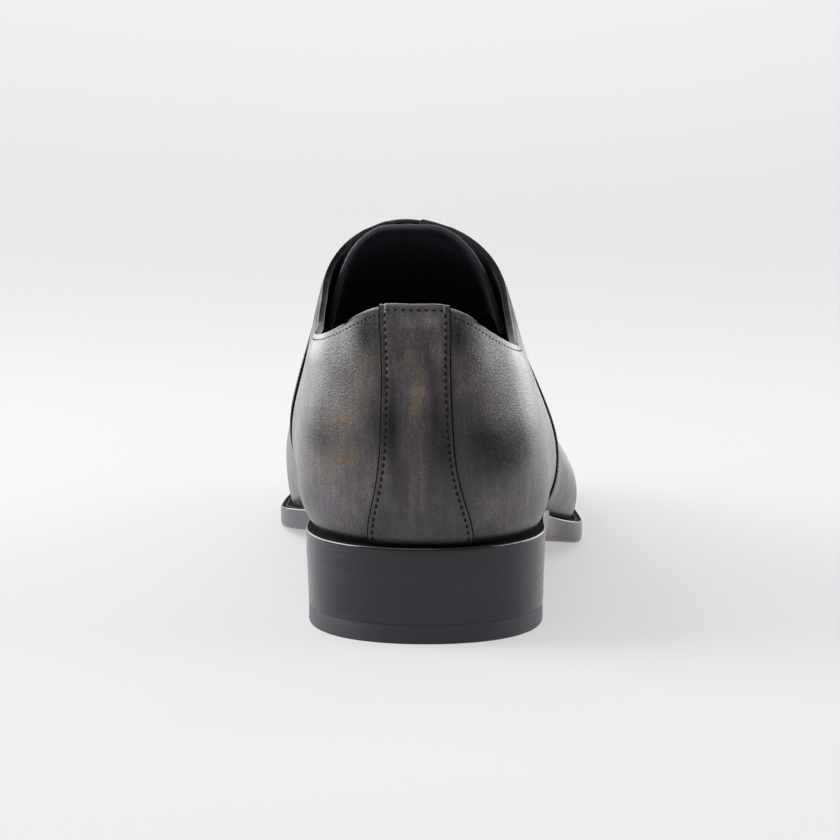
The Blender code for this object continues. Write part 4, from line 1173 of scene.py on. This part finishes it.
def make_panel_stitches():
    """Two rows in front of the vamp's edge and two in front of the cap's."""
    rows = []
    climb = np.linspace(ROW_FROM, 1.0, ROW_STOPS)
    shares = np.concatenate((climb, climb[-2::-1]))
    sides = np.concatenate((np.full(ROW_STOPS, -1), np.full(ROW_STOPS - 1, 1)))
    seam = np.where(sides < 0, line_at("seam", -1, shares), line_at("seam", 1, shares))
    cap = np.where(sides < 0, cap_line(-1, shares), cap_line(1, shares))
    for places, raised in ((seam, VAMP_RAISED), (cap, CAP_RAISED)):
        for inset in SEAM_ROWS:
            edge = sides * places
            around, up = shifted(edge, up_the_wall(edge, shares), forward=inset)
            rows.append(row_on_skin(around, up, raised))
    stitches("panel_stitches", rows, PANEL_SEAM)


def make_welt_stitches():
    """One row on the welt's top, round the forefoot from waist to waist."""
    around = np.linspace(WELT_ROW_FROM, 2 * TIP - WELT_ROW_FROM, LONG_ROW_STOPS)
    line = rail(around, EDGE, WELT_ROW, WELT_TOP)
    normals = np.tile(UPWARD, (len(line), 1))
    stitches("welt_stitches", [(line, normals)], WELT_SEAM)


# Sole and heel: profiles as inset from the outline, share of the sole's curve, height above it, and the
# finish of each band round the welt
EDGE_COLUMNS = "inset curve height"
OUTSOLE_EDGE = table(
    EDGE_COLUMNS,
    (1.3, 1, 0.0),
    (0.75, 1, 0.12),
    (0.35, 1, 0.5),
    (0.12, 1, 1.2),
    (0.02, 1, 2.4),
    (0.0, 1, 4.7),
)
INSOLE_EDGE = table(EDGE_COLUMNS, (4.3, 1, 4.8), (4.3, 1, 7.4), (4.7, 1, 7.8))
HEEL_STACK_EDGE = table(EDGE_COLUMNS, (0.70, 0, TOP_LIFT), (0.45, 0.5, TOP_LIFT / 2 + 0.1), (0.15, 1, 0.1))
TOP_LIFT_EDGE = table(EDGE_COLUMNS, (0.95, 0, 0.0), (0.8, 0, 0.2), (0.74, 0, 0.6), (0.74, 0, TOP_LIFT - 0.1))
WELT_EDGE = table(
    EDGE_COLUMNS,
    (0.0, 1, 4.6),
    (0.0, 1, 6.6),
    (0.04, 1, 6.9),
    (0.15, 1, 7.1),
    (0.36, 1, WELT_TOP),
    (0.8, 1, WELT_TOP - 0.05),
)
WELT_INSIDE = 3.5
WELT_BANDS = (0, 1, 1, 1, 2, 2, 2, 2)
EDGE_ROUND_FROM, EDGE_ROUND_RUN, INSET_OVER_HEEL = 92.0, 14.0, 0.1
# The sole's red carried onto the lowest steps of its bevel ahead of the heel: partly the red sole, partly a
# painted red reflection under the edge
RUSSET_REFLECTION_STEPS, RUSSET_REFLECTION_CLEAR = 2, 2.0


def inset_outline(around, line, inset):
    ahead_x, ahead_y = outline(around + STEP_AROUND, line)
    behind_x, behind_y = outline(around - STEP_AROUND, line)
    along = unit(np.stack((ahead_x - behind_x, ahead_y - behind_y), axis=-1))
    x, y = outline(around, line)
    return x - inset * along[..., 1], y + inset * along[..., 0]


def rail(around, line, inset, height):
    """Points inset from an outline, at a height above the sole's curve."""
    x, y = inset_outline(around, line, inset)
    return np.stack((x, y, sole_curve(around) + height), axis=-1)


def plate(
    name, line, edges, finishes, reach=TIP, cells=LOOP_CELLS, hollow=0.0, over_heel=None, russet_reflection_steps=0, **options
):
    """A plate inside an outline, its rungs joining the sides at equal places around, with an edge profile."""
    places = np.linspace(0.0, reach, cells + 1)
    share = np.linspace(0.0, 1.0, LADDER_ACROSS + 1)
    levels = []
    for edge in edges:
        inset = np.full_like(places, edge.inset)
        if over_heel is not None:
            inset = over_heel + (edge.inset - over_heel) * smooth((places - EDGE_ROUND_FROM) / EDGE_ROUND_RUN)
        out_x, out_y = inset_outline(places, line, inset)
        in_x, in_y = inset_outline(-places, line, inset)
        level = np.empty((cells + 1, LADDER_ACROSS + 1, 3))
        level[..., 0] = in_x[:, None] + (out_x - in_x)[:, None] * share
        level[..., 1] = in_y[:, None] + (out_y - in_y)[:, None] * share
        level[..., 2] = (edge.curve * sole_curve(places) + edge.height)[:, None]
        level[-1, :, 1] -= hollow * (1 - (2 * share - 1) ** 2)
        levels.append(level)
    points = np.array(levels)
    grid = np.arange(points[..., 0].size).reshape(points.shape[:3])
    rim = [(k, LADDER_ACROSS) for k in range(cells + 1)]
    rim += [(cells, j) for j in range(LADDER_ACROSS - 1, 0, -1)]
    rim += [(k, 0) for k in range(cells, -1, -1)]
    rungs, across = np.array(rim).T

    faces = squares(grid[0]) + squares(grid[-1])
    slots = np.repeat((1, 0), len(faces) // 2).tolist()
    faces += squares(grid[:, rungs, across])
    for level in range(len(edges) - 1):
        for rung in rungs[:-1]:
            # Lowest steps ahead of the heel in the russet finish: partly the red sole, partly a painted red
            # reflection
            slots.append(1 if level < russet_reflection_steps and places[rung] > HEEL_REACH + RUSSET_REFLECTION_CLEAR else 0)
    return piece(name, points, faces, finishes, slots, weld=True, **options)


def make_welt():
    """The strip on the outsole's edge that the upper stands on: inked side, glossy rounded rim, and a matt
    black top that is partly painted shade under the upper.
    """
    around = np.linspace(-TIP, TIP, WELT_CELLS + 1)[:-1]
    rings = [rail(around, EDGE, edge.inset, edge.height) for edge in WELT_EDGE]
    rings += [rail(around, FEATHER, WELT_INSIDE, height) for height in (WELT_TOP, WELT_EDGE[0].height)]
    grid = np.arange(len(rings) * len(around)).reshape(len(rings), -1)
    faces = squares(np.pad(grid, (0, 1), mode="wrap"))
    slots = np.repeat(WELT_BANDS, len(around)).tolist()
    finishes = (EDGE_INK, GLOSS_INK, LEDGE_INK_AND_SHADE)
    options = {"stands_for": ("welt",), "slot": "edge_leather"}
    piece("welt_strip", np.concatenate(rings), faces, finishes, slots, **options)


def make_sole():
    """The sole, the sock lining inside, and the heel's block and tip."""
    red_reflection_bevel = {"over_heel": INSET_OVER_HEEL, "russet_reflection_steps": RUSSET_REFLECTION_STEPS}
    options = {"stands_for": ("outsole",), "slot": "sole_leather"}
    plate("sole", EDGE, OUTSOLE_EDGE, (EDGE_INK, RUSSET), **red_reflection_bevel, **options)
    plate("sock_lining", FEATHER, INSOLE_EDGE, (SOCK, SOCK), stands_for=("insole",), slot="sock_leather")
    heel = {"reach": HEEL_REACH, "cells": HEEL_CELLS, "hollow": BREAST_HOLLOW}
    options = {"stands_for": ("heel_stack",), "slot": "heel_leather"}
    plate("heel_block", EDGE, HEEL_STACK_EDGE, (EDGE_INK, EDGE_INK), **heel, **options)
    options = {"stands_for": ("top_lift",), "slot": "top_lift_rubber"}
    plate("heel_tip", EDGE, TOP_LIFT_EDGE, (RUBBER, RUBBER), **heel, **options)


# The studio
CAMERA_AT = (-1.7, -700.0, 150.0)
CAMERA_PITCH_DEG = 7.07
FOCAL_PIXELS, IMAGE_PIXELS, SENSOR, CLIP_START = 2560.0, 840.0, 36.0, 0.01
FLOOR_HALF, SWEEP_FROM, SWEEP_TO, SWEEP_RADIUS = 3.5, 0.6, 3.4, 4.5
SWEEP_CELLS = 24
WORLD_COLOUR, WORLD_BRIGHT, WORLD_BEHIND = (1.0, 1.0, 1.0, 1.0), 0.22, 0.10
WORLD_BEHIND_Y = (-0.75, -0.1)
SOFTBOXES = table(
    "name at aim wide high bright spread_deg",
    ("key", (-1.15, 0.15, 1.35), (0.0, 0.0, 0.05), 1.2, 1.0, 6.0, 180.0),
    ("above", (0.0, 0.25, 1.7), (0.0, 0.1, 0.0), 2.6, 2.4, 0.75, 180.0),
    ("left", (-1.1, 0.08, 0.55), (0.0, -0.08, 0.07), 1.2, 0.5, 4.0, 90.0),
    ("left_ahead", (-1.0, 0.95, 0.40), (0.0, -0.08, 0.05), 1.2, 0.7, 1.1, 90.0),
    ("right", (1.1, 0.08, 0.58), (0.0, -0.08, 0.07), 1.2, 0.5, 2.1, 90.0),
    ("right_ahead", (1.0, 0.95, 0.40), (0.0, -0.08, 0.05), 1.2, 0.7, 1.1, 90.0),
    ("behind_camera", (-0.3, -0.9, 1.3), (0.0, 0.0, 0.05), 1.0, 0.7, 3.5, 180.0),
    ("on_backdrop", (0.0, 2.0, 1.8), (0.0, 2.0, 0.2), 3.0, 0.9, 10.0, 180.0),
)


def make_studio():
    """A pale floor that sweeps up far behind the shoe, and softboxes on both sides and above."""
    profile = [(-FLOOR_HALF, 0.0)]
    for y in np.linspace(SWEEP_FROM, SWEEP_TO, SWEEP_CELLS + 1):
        drop = math.sqrt(SWEEP_RADIUS**2 - (y - SWEEP_FROM) ** 2)
        profile.append((float(y), SWEEP_RADIUS - drop))
    points = [(x, y, z) for y, z in profile for x in (-FLOOR_HALF, FLOOR_HALF)]
    faces = [(2 * i, 2 * i + 1, 2 * i + 3, 2 * i + 2) for i in range(len(profile) - 1)]
    mesh = bpy.data.meshes.new("floor")
    mesh.from_pydata(points, [], faces)
    mesh.shade_smooth()
    mesh.materials.append(PAPER)
    floor = shown("floor", mesh)

    sky = Finish(bpy.data.worlds.new("studio"), "Background")
    strength = sky.spread(sky.axis("Y", "Generated"), *WORLD_BEHIND_Y, WORLD_BEHIND, WORLD_BRIGHT)
    bpy.context.scene.world = sky.finished({"Color": WORLD_COLOUR, "Strength": strength})

    for box in SOFTBOXES:
        light = bpy.data.lights.new(box.name, "AREA")
        light.shape = "RECTANGLE"
        light.size = box.wide
        light.size_y = box.high
        light.energy = box.bright * math.pi * box.wide * box.high
        light.spread = math.radians(box.spread_deg)
        thing = shown(box.name, light)
        thing.location = box.at
        aim = np.array(box.aim) - np.array(box.at)
        tilt = math.atan2(math.hypot(aim[0], aim[1]), -aim[2])
        thing.rotation_euler = (tilt, 0.0, math.atan2(-aim[0], aim[1]))


def make_camera():
    """The photo's camera, as fitted to the rear view."""
    lens = bpy.data.cameras.new("camera")
    lens.sensor_width = SENSOR
    lens.lens = FOCAL_PIXELS / IMAGE_PIXELS * SENSOR
    lens.clip_start = CLIP_START
    camera = shown("camera", lens)
    camera.location = placed(CAMERA_AT)[0]
    camera.rotation_euler = (QUARTER_TURN - math.radians(CAMERA_PITCH_DEG), 0.0, 0.0)
    bpy.context.scene.camera = camera
    bpy.context.scene.view_settings.view_transform = "Standard"


make_camera()
make_studio()
make_quarters()
make_vamp()
make_toe_cap()
make_backstay()
make_tongue()
make_lace()
make_strip_stitches()
make_collar_stitches()
make_panel_stitches()
make_welt()
make_welt_stitches()
make_sole()

bpy.context.view_layer.update()
